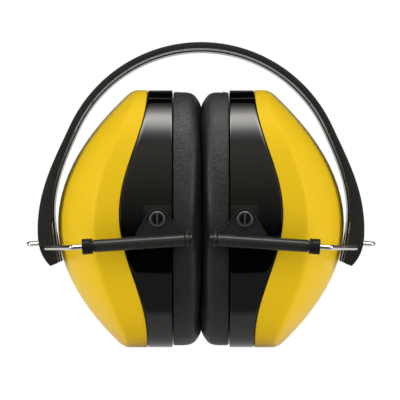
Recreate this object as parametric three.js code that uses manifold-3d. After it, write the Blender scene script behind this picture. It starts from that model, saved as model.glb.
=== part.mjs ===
// Folding earmuff hearing protector, folded for storage and standing on its two cups.
// Millimetres. X runs from cup to cup, Y from front to rear, Z up from the floor.
import * as THREE from 'three';
import { mergeVertices } from 'three/addons/utils/BufferGeometryUtils.js';
import Module from 'manifold-3d';

const wasm = await Module();
wasm.setup();

// Clearances.
const FIT_GAP = 0.3; // between pieces that are pushed together or slide on each other
const SEAM_GAP = 0.36; // between the shell and the housing at the line where they meet

// Cup: a flat-ended oval body whose outer end is a dome.
const CUP_HEIGHT = 104.8;
const CUP_DEPTH = 79; // front to rear at the housing
const CUP_FLAT = 22; // width of the flats at the top and the bottom
const CUP_WALL = 2;
const RIM_X = 11.5; // centre plane to the housing's rim
const DRAFT_X = 21.5; // the side walls lean in from here outwards
const DRAFT_SLOPE = 0.118; // side wall's lean, per mm outwards
const OVAL_SHOULDER = 0.62; // how far the oval's curve follows its top edge
const OVAL_SIDE = 0.56; // how far the oval's curve follows its side
const EDGE_ROUND = 1.1; // width of the soft edge between wall and dome

// Dome: it falls away from its peak as a paraboloid.
const DOME_REACH = 58.9; // centre plane to the dome's peak
const DOME_PEAK_SHARE = 0.477; // peak's height as a share of the cup's height
const DOME_TOP_REACH = 28.6; // where the dome meets the top flat
const DOME_FOOT_REACH = 32.2; // where the dome meets the bottom flat
const DOME_SIDE_REACH = 42.7; // where the dome meets the side walls at mid height

// Parting line between shell and housing: it bulges towards the dome at mid height.
const PARTING_X = 21.5;
const PARTING_BULGE = 10.8;
const PARTING_SPREAD_SHARE = 0.477; // half the bulge's height as a share of the cup's height
const PARTING_RISE = 2.1; // bulge's middle above the cup's middle
const TONGUE_WALL = 1.2; // housing's tongue inside the shell
const TONGUE_REACH = 3;
const FLANGE_THICKNESS = 1.6; // housing's inner flange that holds the seat plate

// Ear cushion and what carries it.
const CUSHION_FACE_X = 2.6; // centre plane to the cushion's face
const CUSHION_BACK_X = 11;
const CUSHION_INSET = 0.8; // cushion's outline inside the cup's outline
const EAR_WIDTH = 36; // opening for the ear, front to rear
const EAR_HEIGHT = 62;
const SKIN_WALL = 1;
const CUSHION_ROUND = 5.4; // soft edge of the cushion's face
const PLATE_THICKNESS = 1.6;
const SPIGOT_WALL = 1.6;
const SPIGOT_REACH = 3.8; // spigot's depth past the plate
const ACOUSTIC_FACE_X = 40; // centre plane to the flat face of the acoustic foam

// Stirrup wire and its hinge in the band.
const WIRE_R = 1;
const HINGE_OUT = 3.5; // hinge axis beyond the dome's peak
const HINGE_HEIGHT_SHARE = 0.387; // hinge height as a share of the cup's height
const LIMB_SLOPE = 0.0658; // the limbs rise towards the middle, in radians
const LIMB_BEND = 11.5; // hinge to the bend where a limb turns straight
const LIMB_END = 57.5; // hinge to the limb's free end
const HINGE_RUN_Y = 19; // half the length that runs along the hinge axis
const CRANK_REACH = 8.3;
const CRANK_RISE = 1.4;
const CRANK_HALF = 5.5; // half the crank's width
const JOG_IN = 2.6; // the wire steps towards the cup before it turns out
const JOG_UP = 1.8;
const JOG_Y = 8.5;
const BEND_R = 2.2;

// Sliding arms.
const TUBE_R = 2.5;
const TUBE_START = 16.9; // hinge to the tube's outer end
const TUBE_END = 59.3;
const CAP_START = 15.7;
const CAP_LENGTH = 4.2;
const CAP_R = 3.1;
const NECK_R = 2.05; // tube's ends under the cap and the ring
const RING_START = 56.5;
const RING_WIDTH = 1.2;
const RING_R = 2.8;
const KNOB_R = 0.65;
const KNOB_RISE = 4;
const LUG_BASE_START = 35.6;
const LUG_BASE_END = 56;
const LUG_APEX_R = 4.3;
const LUG_THICKNESS = 2.3;
const LUG_RIM = 0.7; // width of the raised edge round the lug
const LUG_SUNK = 0.4; // depth of the lug's face below its raised edge

// Pivot between arms and cup.
const PIN_X = 17.2; // centre plane to the pivot axis
const PIN_RISE = 0.1; // pivot axis above the cup's middle
const STUD_R = 1.7;
const STUD_HEAD_R = 3.2;
const STUD_HEAD_THICKNESS = 1.3;
const STUD_TAIL_R = 2.7;
const STUD_TAIL_THICKNESS = 1;
const STUD_BAR = 0.7; // bar left between the two recesses in the head
const STUD_RECESS = 0.6;
const PAD_RAISE = 0.5; // raised pad on the housing round the pivot
const PAD_GAP = 0.5; // between that pad and an arm's lug
const PAD_HALF = 5.5;

// Headband.
const BAND_WIDTH = 31;
const BAND_EDGE = 0.6; // bevel along the band's edges
const BAND_RADIUS = 58.7; // outer radius over the crown
const BAND_THICKNESS = 2.5; // at the crown
const BAND_CLEAR = 16.8; // cup tops to the crown's inner face
const BAND_ARC_END = 25; // degrees above level where the crown's arc stops
const BAND_OUT = 3.9; // band's outer face beyond the hinge
const BAND_IN = 1.5; // band's inner face inside the hinge
const TIP_DROP = 7.4; // band's outer corner below the hinge
const TIP_THICKNESS = 3.6;
const FLANGE_WALL = 3; // front and rear walls of the band's forked end
const WEB_WALL = 2.2; // outer wall of the band's forked end
const FORK_RISE = 5.8; // fork's top above the hinge
const WINDOW_HALF = 8.6; // half the width of the crank's window
const WINDOW_RISE = 10.2;
const WINDOW_DROP = 1.5;
const RIB_WIDTH = 4; // low rib along the band's inner face
const RIB_HEIGHT = 0.45;

// Smoothness.
const QUARTER_STEPS = 8; // points along a quarter of an oval
const ROUND_STEPS = 12; // sides of a round piece
const WIRE_SIDES = 8;
const BEND_STEPS = 4;

// Derived positions.
const CUP_MIDDLE = CUP_HEIGHT / 2;
const PEAK_Z = CUP_HEIGHT * DOME_PEAK_SHARE;
const HINGE_X = DOME_REACH + HINGE_OUT;
const HINGE_Z = CUP_HEIGHT * HINGE_HEIGHT_SHARE;
const PIN_Z = CUP_MIDDLE + PIN_RISE;
const BAND_TOP = CUP_HEIGHT + BAND_CLEAR + BAND_THICKNESS;
const INNER_WALL = CUP_WALL + FIT_GAP + TONGUE_WALL; // housing's full wall
const PIN_BESIDE = (PIN_Z - HINGE_Z) * Math.cos(LIMB_SLOPE) - (HINGE_X - PIN_X) * Math.sin(LIMB_SLOPE);
const PIN_ALONG = (HINGE_X - PIN_X) * Math.cos(LIMB_SLOPE) + (PIN_Z - HINGE_Z) * Math.sin(LIMB_SLOPE);
const LUG_INNER_Y = CUP_DEPTH / 2 + PAD_RAISE + PAD_GAP; // inner face of a lug, level with the tube
const LIMB_Y = LUG_INNER_Y + TUBE_R; // centre plane to each limb

const MATERIALS = {
  band: { color: 0x1c1c1c, roughness: 0.45, metalness: 0 },
  arm: { color: 0x242424, roughness: 0.5, metalness: 0 },
  gloss: { color: 0x101010, roughness: 0.12, metalness: 0 },
  yellow: { color: 0xf2c413, roughness: 0.2, metalness: 0 },
  skin: { color: 0x2b2b2a, roughness: 0.55, metalness: 0 },
  wire: { color: 0xd0cec6, roughness: 0.2, metalness: 1 },
  rubber: { color: 0x151515, roughness: 0.8, metalness: 0 },
  foam: { color: 0x5d5d60, roughness: 0.95, metalness: 0 },
  plate: { color: 0x303030, roughness: 0.6, metalness: 0 },
};

// Merges equal points and drops triangles that have no area, so the body is closed.
function tidied(geometry) {
  const bare = geometry.clone();
  bare.deleteAttribute('normal');
  bare.deleteAttribute('uv');
  const merged = mergeVertices(bare, 1e-4);
  const old = merged.index.array;
  const kept = [];
  for (let i = 0; i < old.length; i += 3) {
    const [a, b, c] = [old[i], old[i + 1], old[i + 2]];
    if (a !== b && b !== c && c !== a) kept.push(a, b, c);
  }
  merged.setIndex(kept);
  return merged;
}

function volumeOf(geometry) {
  const point = geometry.attributes.position;
  const index = geometry.index.array;
  const [a, b, c] = [new THREE.Vector3(), new THREE.Vector3(), new THREE.Vector3()];
  let volume = 0;
  for (let i = 0; i < index.length; i += 3) {
    a.fromBufferAttribute(point, index[i]);
    b.fromBufferAttribute(point, index[i + 1]);
    c.fromBufferAttribute(point, index[i + 2]);
    volume += a.dot(b.cross(c)) / 6;
  }
  return volume;
}

// A closed body with its faces outwards, whichever way it was wound.
function facingOut(geometry) {
  const body = tidied(geometry);
  if (volumeOf(body) < 0) {
    const index = body.index.array;
    for (let i = 0; i < index.length; i += 3) {
      [index[i + 1], index[i + 2]] = [index[i + 2], index[i + 1]];
    }
  }
  body.computeVertexNormals();
  return body;
}

function solidOf(geometry) {
  const body = facingOut(geometry);
  return new wasm.Manifold(new wasm.Mesh({
    numProp: 3,
    vertProperties: new Float32Array(body.attributes.position.array),
    triVerts: new Uint32Array(body.index.array),
  }));
}

function geometryOf(solid) {
  const mesh = solid.getMesh();
  const geometry = new THREE.BufferGeometry();
  geometry.setAttribute('position', new THREE.BufferAttribute(new Float32Array(mesh.vertProperties), 3));
  geometry.setIndex(new THREE.BufferAttribute(new Uint32Array(mesh.triVerts), 1));
  geometry.computeVertexNormals();
  return geometry;
}

// The same body seen in a mirror that lies across Y.
function mirroredY(geometry) {
  return facingOut(geometry.clone().scale(1, -1, 1));
}

function box(low, high) {
  const size = high.map((value, i) => value - low[i]);
  const middle = high.map((value, i) => (value + low[i]) / 2);
  return solidOf(new THREE.BoxGeometry(...size).translate(...middle));
}

// Extrudes an outline drawn in X and Z along Y.
function extrudedY(outline, lowY, highY, edge = 0) {
  const shape = new THREE.Shape(outline);
  const geometry = new THREE.ExtrudeGeometry(shape, {
    depth: highY - lowY - 2 * edge,
    bevelEnabled: edge > 0,
    bevelThickness: edge,
    bevelSize: edge,
    bevelOffset: -edge,
    bevelSegments: 1,
  });
  return facingOut(geometry.rotateX(Math.PI / 2).translate(0, highY - edge, 0));
}

// Turns a profile of [radius, distance] pairs round the Y axis.
function turnedY(profile, sides = ROUND_STEPS) {
  return facingOut(new THREE.LatheGeometry(profile.map(([r, d]) => new THREE.Vector2(r, d)), sides));
}

// Turns a profile round the X axis, with its distances running towards negative X.
function turnedAlongLimb(profile, y, sides = ROUND_STEPS) {
  return turnedY(profile, sides).rotateZ(Math.PI / 2).translate(0, y, 0);
}

// Joins loops of points, all with the same count, into the side of a body.
function lofted(loops, ends) {
  const count = loops[0].length;
  const points = loops.flat();
  const index = [];
  const bands = ends === 'ring' ? loops.length : loops.length - 1;
  for (let band = 0; band < bands; band += 1) {
    const near = band * count;
    const far = ((band + 1) % loops.length) * count;
    for (let i = 0; i < count; i += 1) {
      const next = (i + 1) % count;
      index.push(near + i, near + next, far + next, near + i, far + next, far + i);
    }
  }
  if (ends === 'capped') {
    for (const [start, turn] of [[0, 1], [(loops.length - 1) * count, -1]]) {
      const middle = points.length;
      const hub = new THREE.Vector3();
      for (let i = 0; i < count; i += 1) hub.addScaledVector(points[start + i], 1 / count);
      points.push(hub);
      for (let i = 0; i < count; i += 1) {
        const pair = [start + ((i + 1) % count), start + i];
        index.push(middle, ...(turn > 0 ? pair : pair.reverse()));
      }
    }
  }
  const geometry = new THREE.BufferGeometry().setFromPoints(points);
  geometry.setIndex(index);
  return facingOut(geometry);
}

// Oval in Y and Z round the cup's middle, with flats at its top and bottom.
function oval(depth, height, flat) {
  const [y, z, f] = [depth / 2, height / 2, flat / 2];
  const quarter = new THREE.CubicBezierCurve(
    new THREE.Vector2(f, z),
    new THREE.Vector2(f + OVAL_SHOULDER * (y - f), z),
    new THREE.Vector2(y, OVAL_SIDE * z),
    new THREE.Vector2(y, 0),
  ).getPoints(QUARTER_STEPS);
  const lower = quarter.slice(0, -1).reverse().map((p) => new THREE.Vector2(p.x, -p.y));
  const half = [...quarter, ...lower];
  const other = half.map((p) => new THREE.Vector2(-p.x, p.y)).reverse();
  return [...half, ...other];
}

function loopAt(outline, x) {
  return outline.map((p) => new THREE.Vector3(x, p.x, CUP_MIDDLE + p.y));
}

// Distance of the dome's surface from the centre plane, less a wall measured square to it.
function domeX(y, z, wall) {
  const rise = z - PEAK_Z;
  const span = rise > 0 ? CUP_HEIGHT - PEAK_Z : PEAK_Z;
  const edge = rise > 0 ? DOME_TOP_REACH : DOME_FOOT_REACH;
  const fallZ = (DOME_REACH - edge) / span ** 2;
  const sideY = CUP_DEPTH / 2 - (DOME_SIDE_REACH - DRAFT_X) * DRAFT_SLOPE;
  const fallY = (DOME_REACH - DOME_SIDE_REACH) / sideY ** 2;
  const steepness = Math.hypot(1, 2 * fallZ * rise, 2 * fallY * y);
  return DOME_REACH - fallZ * rise ** 2 - fallY * y ** 2 - wall * steepness;
}

// Point where a leaning side wall meets the dome.
function edgePoint(p, inset) {
  const z = CUP_MIDDLE + p.y;
  let x = domeX(p.x, z, inset);
  let y = p.x;
  for (let i = 0; i < 8; i += 1) {
    const lean = Math.max(0, x - DRAFT_X) * DRAFT_SLOPE;
    y = p.x * (1 - (2 * lean) / CUP_DEPTH);
    x = domeX(y, z, inset);
  }
  return new THREE.Vector3(x, y, z);
}

// The cup's outer form, or the same form made smaller all round by an inset.
function cupBlock(inset, startX) {
  const outline = oval(CUP_DEPTH - 2 * inset, CUP_HEIGHT - 2 * inset, CUP_FLAT);
  const edge = outline.map((p) => edgePoint(p, inset));
  const loops = [loopAt(outline, startX), loopAt(outline, DRAFT_X - inset)];
  loops.push(edge.map((e, i) => {
    const back = Math.min(EDGE_ROUND, (e.x - DRAFT_X + inset) / 2);
    const lean = Math.max(0, e.x - back - DRAFT_X) * DRAFT_SLOPE;
    return new THREE.Vector3(e.x - back, outline[i].x * (1 - (2 * lean) / CUP_DEPTH), e.z);
  }));
  for (const share of [0.97, 0.78, 0.52, 0.26]) {
    loops.push(edge.map((e) => {
      const y = e.y * share;
      const z = PEAK_Z + (e.z - PEAK_Z) * share;
      return new THREE.Vector3(domeX(y, z, inset), y, z);
    }));
  }
  return lofted(loops, 'capped');
}

function partingX(z) {
  const t = (z - CUP_MIDDLE - PARTING_RISE) / (CUP_HEIGHT * PARTING_SPREAD_SHARE);
  const swell = Math.abs(t) < 1 ? Math.cos((t * Math.PI) / 2) ** 2 : 0;
  return PARTING_X + PARTING_BULGE * swell;
}

// Everything on the cushion's side of the parting line moved outwards by a distance.
function insideParting(shift) {
  const steps = 24;
  const outline = [];
  for (let i = 0; i <= steps; i += 1) {
    const z = -2 + ((CUP_HEIGHT + 4) * i) / steps;
    outline.push(new THREE.Vector2(partingX(z) + shift, z));
  }
  outline.push(new THREE.Vector2(0, CUP_HEIGHT + 2), new THREE.Vector2(0, -2));
  return solidOf(extrudedY(outline, -CUP_DEPTH, CUP_DEPTH));
}

function cupShell() {
  const wall = solidOf(cupBlock(0, RIM_X)).subtract(solidOf(cupBlock(CUP_WALL, RIM_X - 1)));
  return geometryOf(wall.subtract(insideParting(SEAM_GAP / 2)));
}

// Points part of the way across the cushion, measured from its outline or from the ear opening.
function cushionLoop(from, distance, x) {
  const outer = oval(CUP_DEPTH - 2 * CUSHION_INSET, CUP_HEIGHT - 2 * CUSHION_INSET, CUP_FLAT);
  const inner = oval(EAR_WIDTH, EAR_HEIGHT, CUP_FLAT / 2);
  const outline = outer.map((p, i) => {
    const across = inner[i].clone().sub(p);
    const step = across.clone().setLength(distance);
    return from === 'rim' ? p.clone().add(step) : inner[i].clone().sub(step);
  });
  return loopAt(outline, x);
}

// A ring whose section is a closed list of [from, distance, x].
function cushionRing(section) {
  return lofted(section.map((corner) => cushionLoop(...corner)), 'ring');
}

function cushionSkin() {
  const [front, back, w, r] = [CUSHION_FACE_X, CUSHION_BACK_X, SKIN_WALL, CUSHION_ROUND];
  return cushionRing([
    ['rim', 0, back], ['rim', 0, front + r], ['rim', 0.3 * r, front + 0.3 * r], ['rim', r, front],
    ['ear', r, front], ['ear', 0.3 * r, front + 0.3 * r], ['ear', 0, front + r], ['ear', 0, back],
    ['ear', w, back], ['ear', w, front + w + 0.7 * r], ['ear', w + 0.7 * r, front + w],
    ['rim', w + 0.7 * r, front + w], ['rim', w, front + w + 0.7 * r], ['rim', w, back],
  ]);
}

function cushionFoam() {
  const w = SKIN_WALL + FIT_GAP;
  const [front, back, r] = [CUSHION_FACE_X + w, CUSHION_BACK_X - PLATE_THICKNESS - FIT_GAP, CUSHION_ROUND];
  return cushionRing([
    ['rim', w, back], ['rim', w, front + 0.72 * r], ['rim', w + 0.72 * r, front],
    ['ear', w + 0.72 * r, front], ['ear', w, front + 0.72 * r], ['ear', w, back],
  ]);
}

function seatPlate() {
  const edge = SKIN_WALL + FIT_GAP;
  const back = RIM_X - FIT_GAP;
  const front = back - PLATE_THICKNESS;
  return cushionRing([
    ['rim', edge, front], ['rim', edge, back], ['ear', edge + SPIGOT_WALL, back],
    ['ear', edge + SPIGOT_WALL, back + SPIGOT_REACH], ['ear', edge, back + SPIGOT_REACH], ['ear', edge, front],
  ]);
}

function cupHousing() {
  const outside = solidOf(cupBlock(0, RIM_X)).intersect(insideParting(-SEAM_GAP / 2));
  const tongue = solidOf(cupBlock(CUP_WALL + FIT_GAP, RIM_X)).intersect(insideParting(TONGUE_REACH));
  const hollow = solidOf(cupBlock(INNER_WALL, RIM_X + FLANGE_THICKNESS));
  const mouthEdge = SKIN_WALL + FIT_GAP + SPIGOT_WALL + FIT_GAP;
  const mouth = solidOf(lofted([
    cushionLoop('ear', mouthEdge, RIM_X - 1),
    cushionLoop('ear', mouthEdge, RIM_X + FLANGE_THICKNESS + 1),
  ], 'capped'));
  let body = outside.add(tongue);
  for (const side of [-1, 1]) {
    const face = side * (CUP_DEPTH / 2 + PAD_RAISE);
    const root = side * (CUP_DEPTH / 2 - INNER_WALL / 2);
    body = body.add(box(
      [RIM_X, Math.min(face, root), PIN_Z - PAD_HALF],
      [PIN_X + PAD_HALF, Math.max(face, root), PIN_Z + PAD_HALF],
    ));
  }
  body = body.subtract(hollow).subtract(mouth);
  const reach = CUP_DEPTH / 2 + 2;
  const hole = turnedY([[0, -reach], [STUD_R + FIT_GAP, -reach], [STUD_R + FIT_GAP, reach], [0, reach]]);
  return geometryOf(body.subtract(solidOf(hole.translate(PIN_X, 0, PIN_Z))));
}

function acousticFoam() {
  const form = solidOf(cupBlock(CUP_WALL + FIT_GAP, RIM_X));
  const room = box([0, -CUP_DEPTH, -1], [ACOUSTIC_FACE_X, CUP_DEPTH, CUP_HEIGHT + 1]);
  return geometryOf(form.subtract(room));
}

// Snap stud: head outside the lug, shank through lug and housing wall, flared tail inside.
function pivotStud() {
  const under = LUG_INNER_Y + LUG_THICKNESS + FIT_GAP;
  const top = under + STUD_HEAD_THICKNESS;
  const tail = CUP_DEPTH / 2 - INNER_WALL - FIT_GAP;
  const body = solidOf(turnedY([
    [0, tail - STUD_TAIL_THICKNESS], [STUD_R, tail - STUD_TAIL_THICKNESS], [STUD_TAIL_R, tail],
    [STUD_R, tail], [STUD_R, under], [STUD_HEAD_R, under], [STUD_HEAD_R, top - 0.4],
    [STUD_HEAD_R - 0.5, top], [0, top],
  ]));
  const recessR = STUD_HEAD_R - 0.9;
  const recess = solidOf(turnedY([
    [0, top - STUD_RECESS], [recessR, top - STUD_RECESS], [recessR, top + 1], [0, top + 1],
  ]));
  const bar = box([-STUD_BAR / 2, top - 2, -recessR - 1], [STUD_BAR / 2, top + 2, recessR + 1]);
  return geometryOf(body.subtract(recess.subtract(bar))).translate(PIN_X, 0, PIN_Z);
}

// A path through corner points, each corner rounded by an arc.
class BentPath extends THREE.Curve {
  constructor(corners, radius) {
    super();
    this.points = [corners[0]];
    for (let i = 1; i < corners.length - 1; i += 1) {
      const into = corners[i].clone().sub(corners[i - 1]).normalize();
      const out = corners[i + 1].clone().sub(corners[i]).normalize();
      const turn = into.angleTo(out);
      const cut = radius * Math.tan(turn / 2);
      const start = corners[i].clone().addScaledVector(into, -cut);
      const side = out.clone().addScaledVector(into, -into.dot(out)).normalize();
      const steps = turn > 0.8 ? BEND_STEPS : BEND_STEPS / 2;
      for (let s = 0; s <= steps; s += 1) {
        const a = (turn * s) / steps;
        const point = start.clone().addScaledVector(into, radius * Math.sin(a));
        this.points.push(point.addScaledVector(side, radius * (1 - Math.cos(a))));
      }
    }
    this.points.push(corners[corners.length - 1]);
  }

  getPointAt(u) {
    const last = this.points.length - 1;
    return this.points[Math.min(last, Math.round(u * last))].clone();
  }

  getTangentAt(u) {
    const last = this.points.length - 1;
    const i = Math.min(last, Math.round(u * last));
    const before = this.points[Math.max(0, i - 1)];
    const after = this.points[Math.min(last, i + 1)];
    const into = this.points[i].clone().sub(before).normalize();
    return after.clone().sub(this.points[i]).normalize().add(into).normalize();
  }
}

// The wire in the hinge's own frame: the hinge axis is Y and the limbs run towards negative X.
function stirrupWire() {
  const jog = new THREE.Vector2(-JOG_IN, JOG_UP).rotateAround(new THREE.Vector2(), LIMB_SLOPE);
  const crank = new THREE.Vector2(CRANK_REACH, CRANK_RISE).rotateAround(new THREE.Vector2(), LIMB_SLOPE);
  const half = [
    new THREE.Vector3(-LIMB_END, -LIMB_Y, 0),
    new THREE.Vector3(-LIMB_BEND, -LIMB_Y, 0),
    new THREE.Vector3(0, -HINGE_RUN_Y, 0),
    new THREE.Vector3(0, -JOG_Y - JOG_IN, 0),
    new THREE.Vector3(jog.x, -JOG_Y + 0.5, jog.y),
    new THREE.Vector3(crank.x, -CRANK_HALF, crank.y),
  ];
  const other = half.map((p) => new THREE.Vector3(p.x, -p.y, p.z)).reverse();
  const path = new BentPath([...half, ...other], BEND_R);
  const circle = [];
  for (let i = 0; i < WIRE_SIDES; i += 1) {
    const a = (2 * Math.PI * i) / WIRE_SIDES;
    circle.push(new THREE.Vector2(WIRE_R * Math.cos(a), WIRE_R * Math.sin(a)));
  }
  return facingOut(new THREE.ExtrudeGeometry(new THREE.Shape(circle), {
    steps: path.points.length - 1,
    extrudePath: path,
  }));
}

// Outline of the triangular lug in the hinge's frame, made smaller by an inset.
function lugOutline(inset) {
  const pin = new THREE.Vector2(-PIN_ALONG, PIN_BESIDE);
  const foot = WIRE_R + FIT_GAP + 0.3 + inset;
  const r = LUG_APEX_R - inset;
  const outline = [];
  for (const base of [-LUG_BASE_START - inset, -LUG_BASE_END + inset]) {
    const corner = new THREE.Vector2(base, foot);
    const away = corner.clone().sub(pin);
    const lean = Math.acos(r / away.length()) * (base > pin.x ? 1 : -1);
    const tangent = Math.atan2(away.y, away.x) + lean;
    outline.push({ corner, tangent });
  }
  const [near, far] = outline;
  const sweep = far.tangent + 2 * Math.PI - near.tangent;
  const turn = sweep > 2 * Math.PI ? sweep - 2 * Math.PI : sweep;
  const points = [near.corner];
  for (let i = 0; i <= 8; i += 1) {
    const a = near.tangent + (turn * i) / 8;
    points.push(new THREE.Vector2(pin.x + r * Math.cos(a), pin.y + r * Math.sin(a)));
  }
  points.push(far.corner);
  return points;
}

// Front arm: a blind tube that slides on the wire, with the lug that holds the cup's stud.
function arm() {
  const bore = WIRE_R + FIT_GAP + 0.05;
  const seat = RING_START - FIT_GAP;
  const tube = solidOf(turnedAlongLimb([
    [0, TUBE_END], [NECK_R, TUBE_END], [NECK_R + 0.3, TUBE_END - 0.3], [NECK_R + 0.3, seat + RING_WIDTH + 0.6],
    [NECK_R, seat + RING_WIDTH + 0.6], [NECK_R, seat], [TUBE_R, seat],
    [TUBE_R, CAP_START + CAP_LENGTH + FIT_GAP], [NECK_R, CAP_START + CAP_LENGTH + FIT_GAP],
    [NECK_R, TUBE_START], [bore, TUBE_START], [bore, TUBE_END - 0.9], [0, TUBE_END - 0.9],
  ], -LIMB_Y));
  const outer = -LUG_INNER_Y - LUG_THICKNESS;
  const lug = solidOf(extrudedY(lugOutline(0), outer, -LUG_INNER_Y));
  const face = solidOf(extrudedY(lugOutline(LUG_RIM), outer - 1, outer + LUG_SUNK));
  const r = STUD_R + FIT_GAP;
  const hole = turnedY([[0, -LIMB_Y - 1], [r, -LIMB_Y - 1], [r, -LUG_INNER_Y + 1], [0, -LUG_INNER_Y + 1]]);
  const eye = solidOf(hole.translate(-PIN_ALONG, 0, PIN_BESIDE));
  return geometryOf(lug.subtract(face).add(tube).subtract(eye));
}

function frictionCap() {
  const [start, end] = [CAP_START, CAP_START + CAP_LENGTH];
  const inside = NECK_R + FIT_GAP;
  return turnedAlongLimb([
    [WIRE_R + FIT_GAP, start], [CAP_R - 0.3, start], [CAP_R, start + 0.3], [CAP_R, end - 1.1],
    [CAP_R - 0.3, end - 0.9], [CAP_R, end - 0.7], [CAP_R, end], [inside, end],
    [inside, start + 0.9], [WIRE_R + FIT_GAP, start + 0.9], [WIRE_R + FIT_GAP, start],
  ], -LIMB_Y);
}

// Split ring near the tube's inner end, with a small knob on top.
function endRing() {
  const inside = NECK_R + FIT_GAP;
  const [start, end] = [RING_START, RING_START + RING_WIDTH];
  const hoop = solidOf(turnedAlongLimb([
    [inside, start], [RING_R, start], [RING_R, end], [inside, end], [inside, start],
  ], 0));
  const knob = solidOf(turnedY([[0, 0], [KNOB_R, 0], [KNOB_R, KNOB_RISE], [0, KNOB_RISE]], 8)
    .rotateX(Math.PI / 2).translate(-(start + end) / 2, 0, 0));
  const core = solidOf(turnedAlongLimb([[0, start - 1], [inside, start - 1], [inside, end + 1], [0, end + 1]], 0));
  const slit = box([-end - 1, -0.3, -RING_R - 1], [-start + 1, 0.3, 0]);
  return geometryOf(hoop.add(knob).subtract(core).subtract(slit)).translate(0, -LIMB_Y, 0);
}

// Half of the band's outline, from crown to tip on the outside and back on the inside.
function bandOutline(rib) {
  const centre = BAND_TOP - BAND_RADIUS;
  const stop = THREE.MathUtils.degToRad(BAND_ARC_END);
  const inner = BAND_RADIUS - BAND_THICKNESS - rib;
  const fall = new THREE.Vector2(Math.sin(stop), -Math.cos(stop));
  const shoulder = new THREE.Vector2(BAND_RADIUS * Math.cos(stop), centre + BAND_RADIUS * Math.sin(stop));
  const innerShoulder = new THREE.Vector2(inner * Math.cos(stop), centre + inner * Math.sin(stop));
  const wide = new THREE.Vector2(HINGE_X + BAND_OUT, HINGE_Z + TIP_DROP);
  const tip = new THREE.Vector2(HINGE_X - BAND_OUT / 3, HINGE_Z - TIP_DROP);
  const innerTip = new THREE.Vector2(tip.x - 0.91 * TIP_THICKNESS, tip.y + 0.41 * TIP_THICKNESS);
  const innerWide = new THREE.Vector2(HINGE_X - BAND_IN - rib, HINGE_Z + 2 * TIP_DROP);
  const reach = 0.36 * shoulder.distanceTo(wide);
  const innerReach = 0.33 * innerShoulder.distanceTo(innerWide);
  const points = [];
  const arc = (radius, from, to) => {
    for (let i = 0; i <= 12; i += 1) {
      const a = from + ((to - from) * i) / 12;
      points.push(new THREE.Vector2(radius * Math.cos(a), centre + radius * Math.sin(a)));
    }
  };
  const curve = (steps, ...knots) => {
    points.push(...new THREE.CubicBezierCurve(...knots).getPoints(steps).slice(1));
  };
  arc(BAND_RADIUS, Math.PI / 2, stop);
  curve(7, shoulder, shoulder.clone().addScaledVector(fall, reach), new THREE.Vector2(wide.x, wide.y + reach), wide);
  curve(6, wide, new THREE.Vector2(wide.x, HINGE_Z + 0.3 * TIP_DROP),
    new THREE.Vector2(wide.x - 0.6, HINGE_Z - 0.4 * TIP_DROP), tip);
  points.push(innerTip);
  curve(5, innerTip, new THREE.Vector2(innerTip.x + 1.4, HINGE_Z + 0.1 * TIP_DROP),
    new THREE.Vector2(innerWide.x, HINGE_Z + 1.1 * TIP_DROP), innerWide);
  curve(6, innerWide, new THREE.Vector2(innerWide.x, innerWide.y + innerReach),
    innerShoulder.clone().addScaledVector(fall, innerReach), innerShoulder);
  points.pop();
  arc(inner, stop, Math.PI / 2);
  return points;
}

function bandBlock(rib, width, edge) {
  const half = bandOutline(rib);
  const other = half.slice(1, -1).map((p) => new THREE.Vector2(-p.x, p.y)).reverse();
  return solidOf(extrudedY([...half, ...other], -width / 2, width / 2, edge));
}

function headband() {
  let body = bandBlock(0, BAND_WIDTH, BAND_EDGE).add(bandBlock(RIB_HEIGHT, RIB_WIDTH, 0));
  const forkY = BAND_WIDTH / 2 - FLANGE_WALL;
  const webX = HINGE_X + BAND_OUT - WEB_WALL;
  for (const side of [-1, 1]) {
    const fork = [
      [HINGE_X - 12, HINGE_Z + FORK_RISE], [webX, HINGE_Z + FORK_RISE], [webX, HINGE_Z - 1],
      [HINGE_X - 4.4, HINGE_Z - TIP_DROP - 2], [HINGE_X - 12, HINGE_Z - TIP_DROP - 2],
    ].map(([x, z]) => new THREE.Vector2(side * x, z));
    body = body.subtract(solidOf(extrudedY(fork, -forkY, forkY)));
    const windowX = [side * (HINGE_X - 8), side * (HINGE_X + 8)];
    body = body.subtract(box(
      [Math.min(...windowX), -WINDOW_HALF, HINGE_Z - WINDOW_DROP],
      [Math.max(...windowX), WINDOW_HALF, HINGE_Z + WINDOW_RISE],
    ));
    const r = WIRE_R + FIT_GAP;
    const hole = turnedY([[0, -BAND_WIDTH], [r, -BAND_WIDTH], [r, BAND_WIDTH], [0, BAND_WIDTH]]);
    body = body.subtract(solidOf(hole.translate(side * HINGE_X, 0, HINGE_Z)));
  }
  return geometryOf(body);
}

function piece(name, geometry, look) {
  const mesh = new THREE.Mesh(geometry.clone(), new THREE.MeshStandardMaterial(MATERIALS[look]));
  mesh.name = name;
  return mesh;
}

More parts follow.
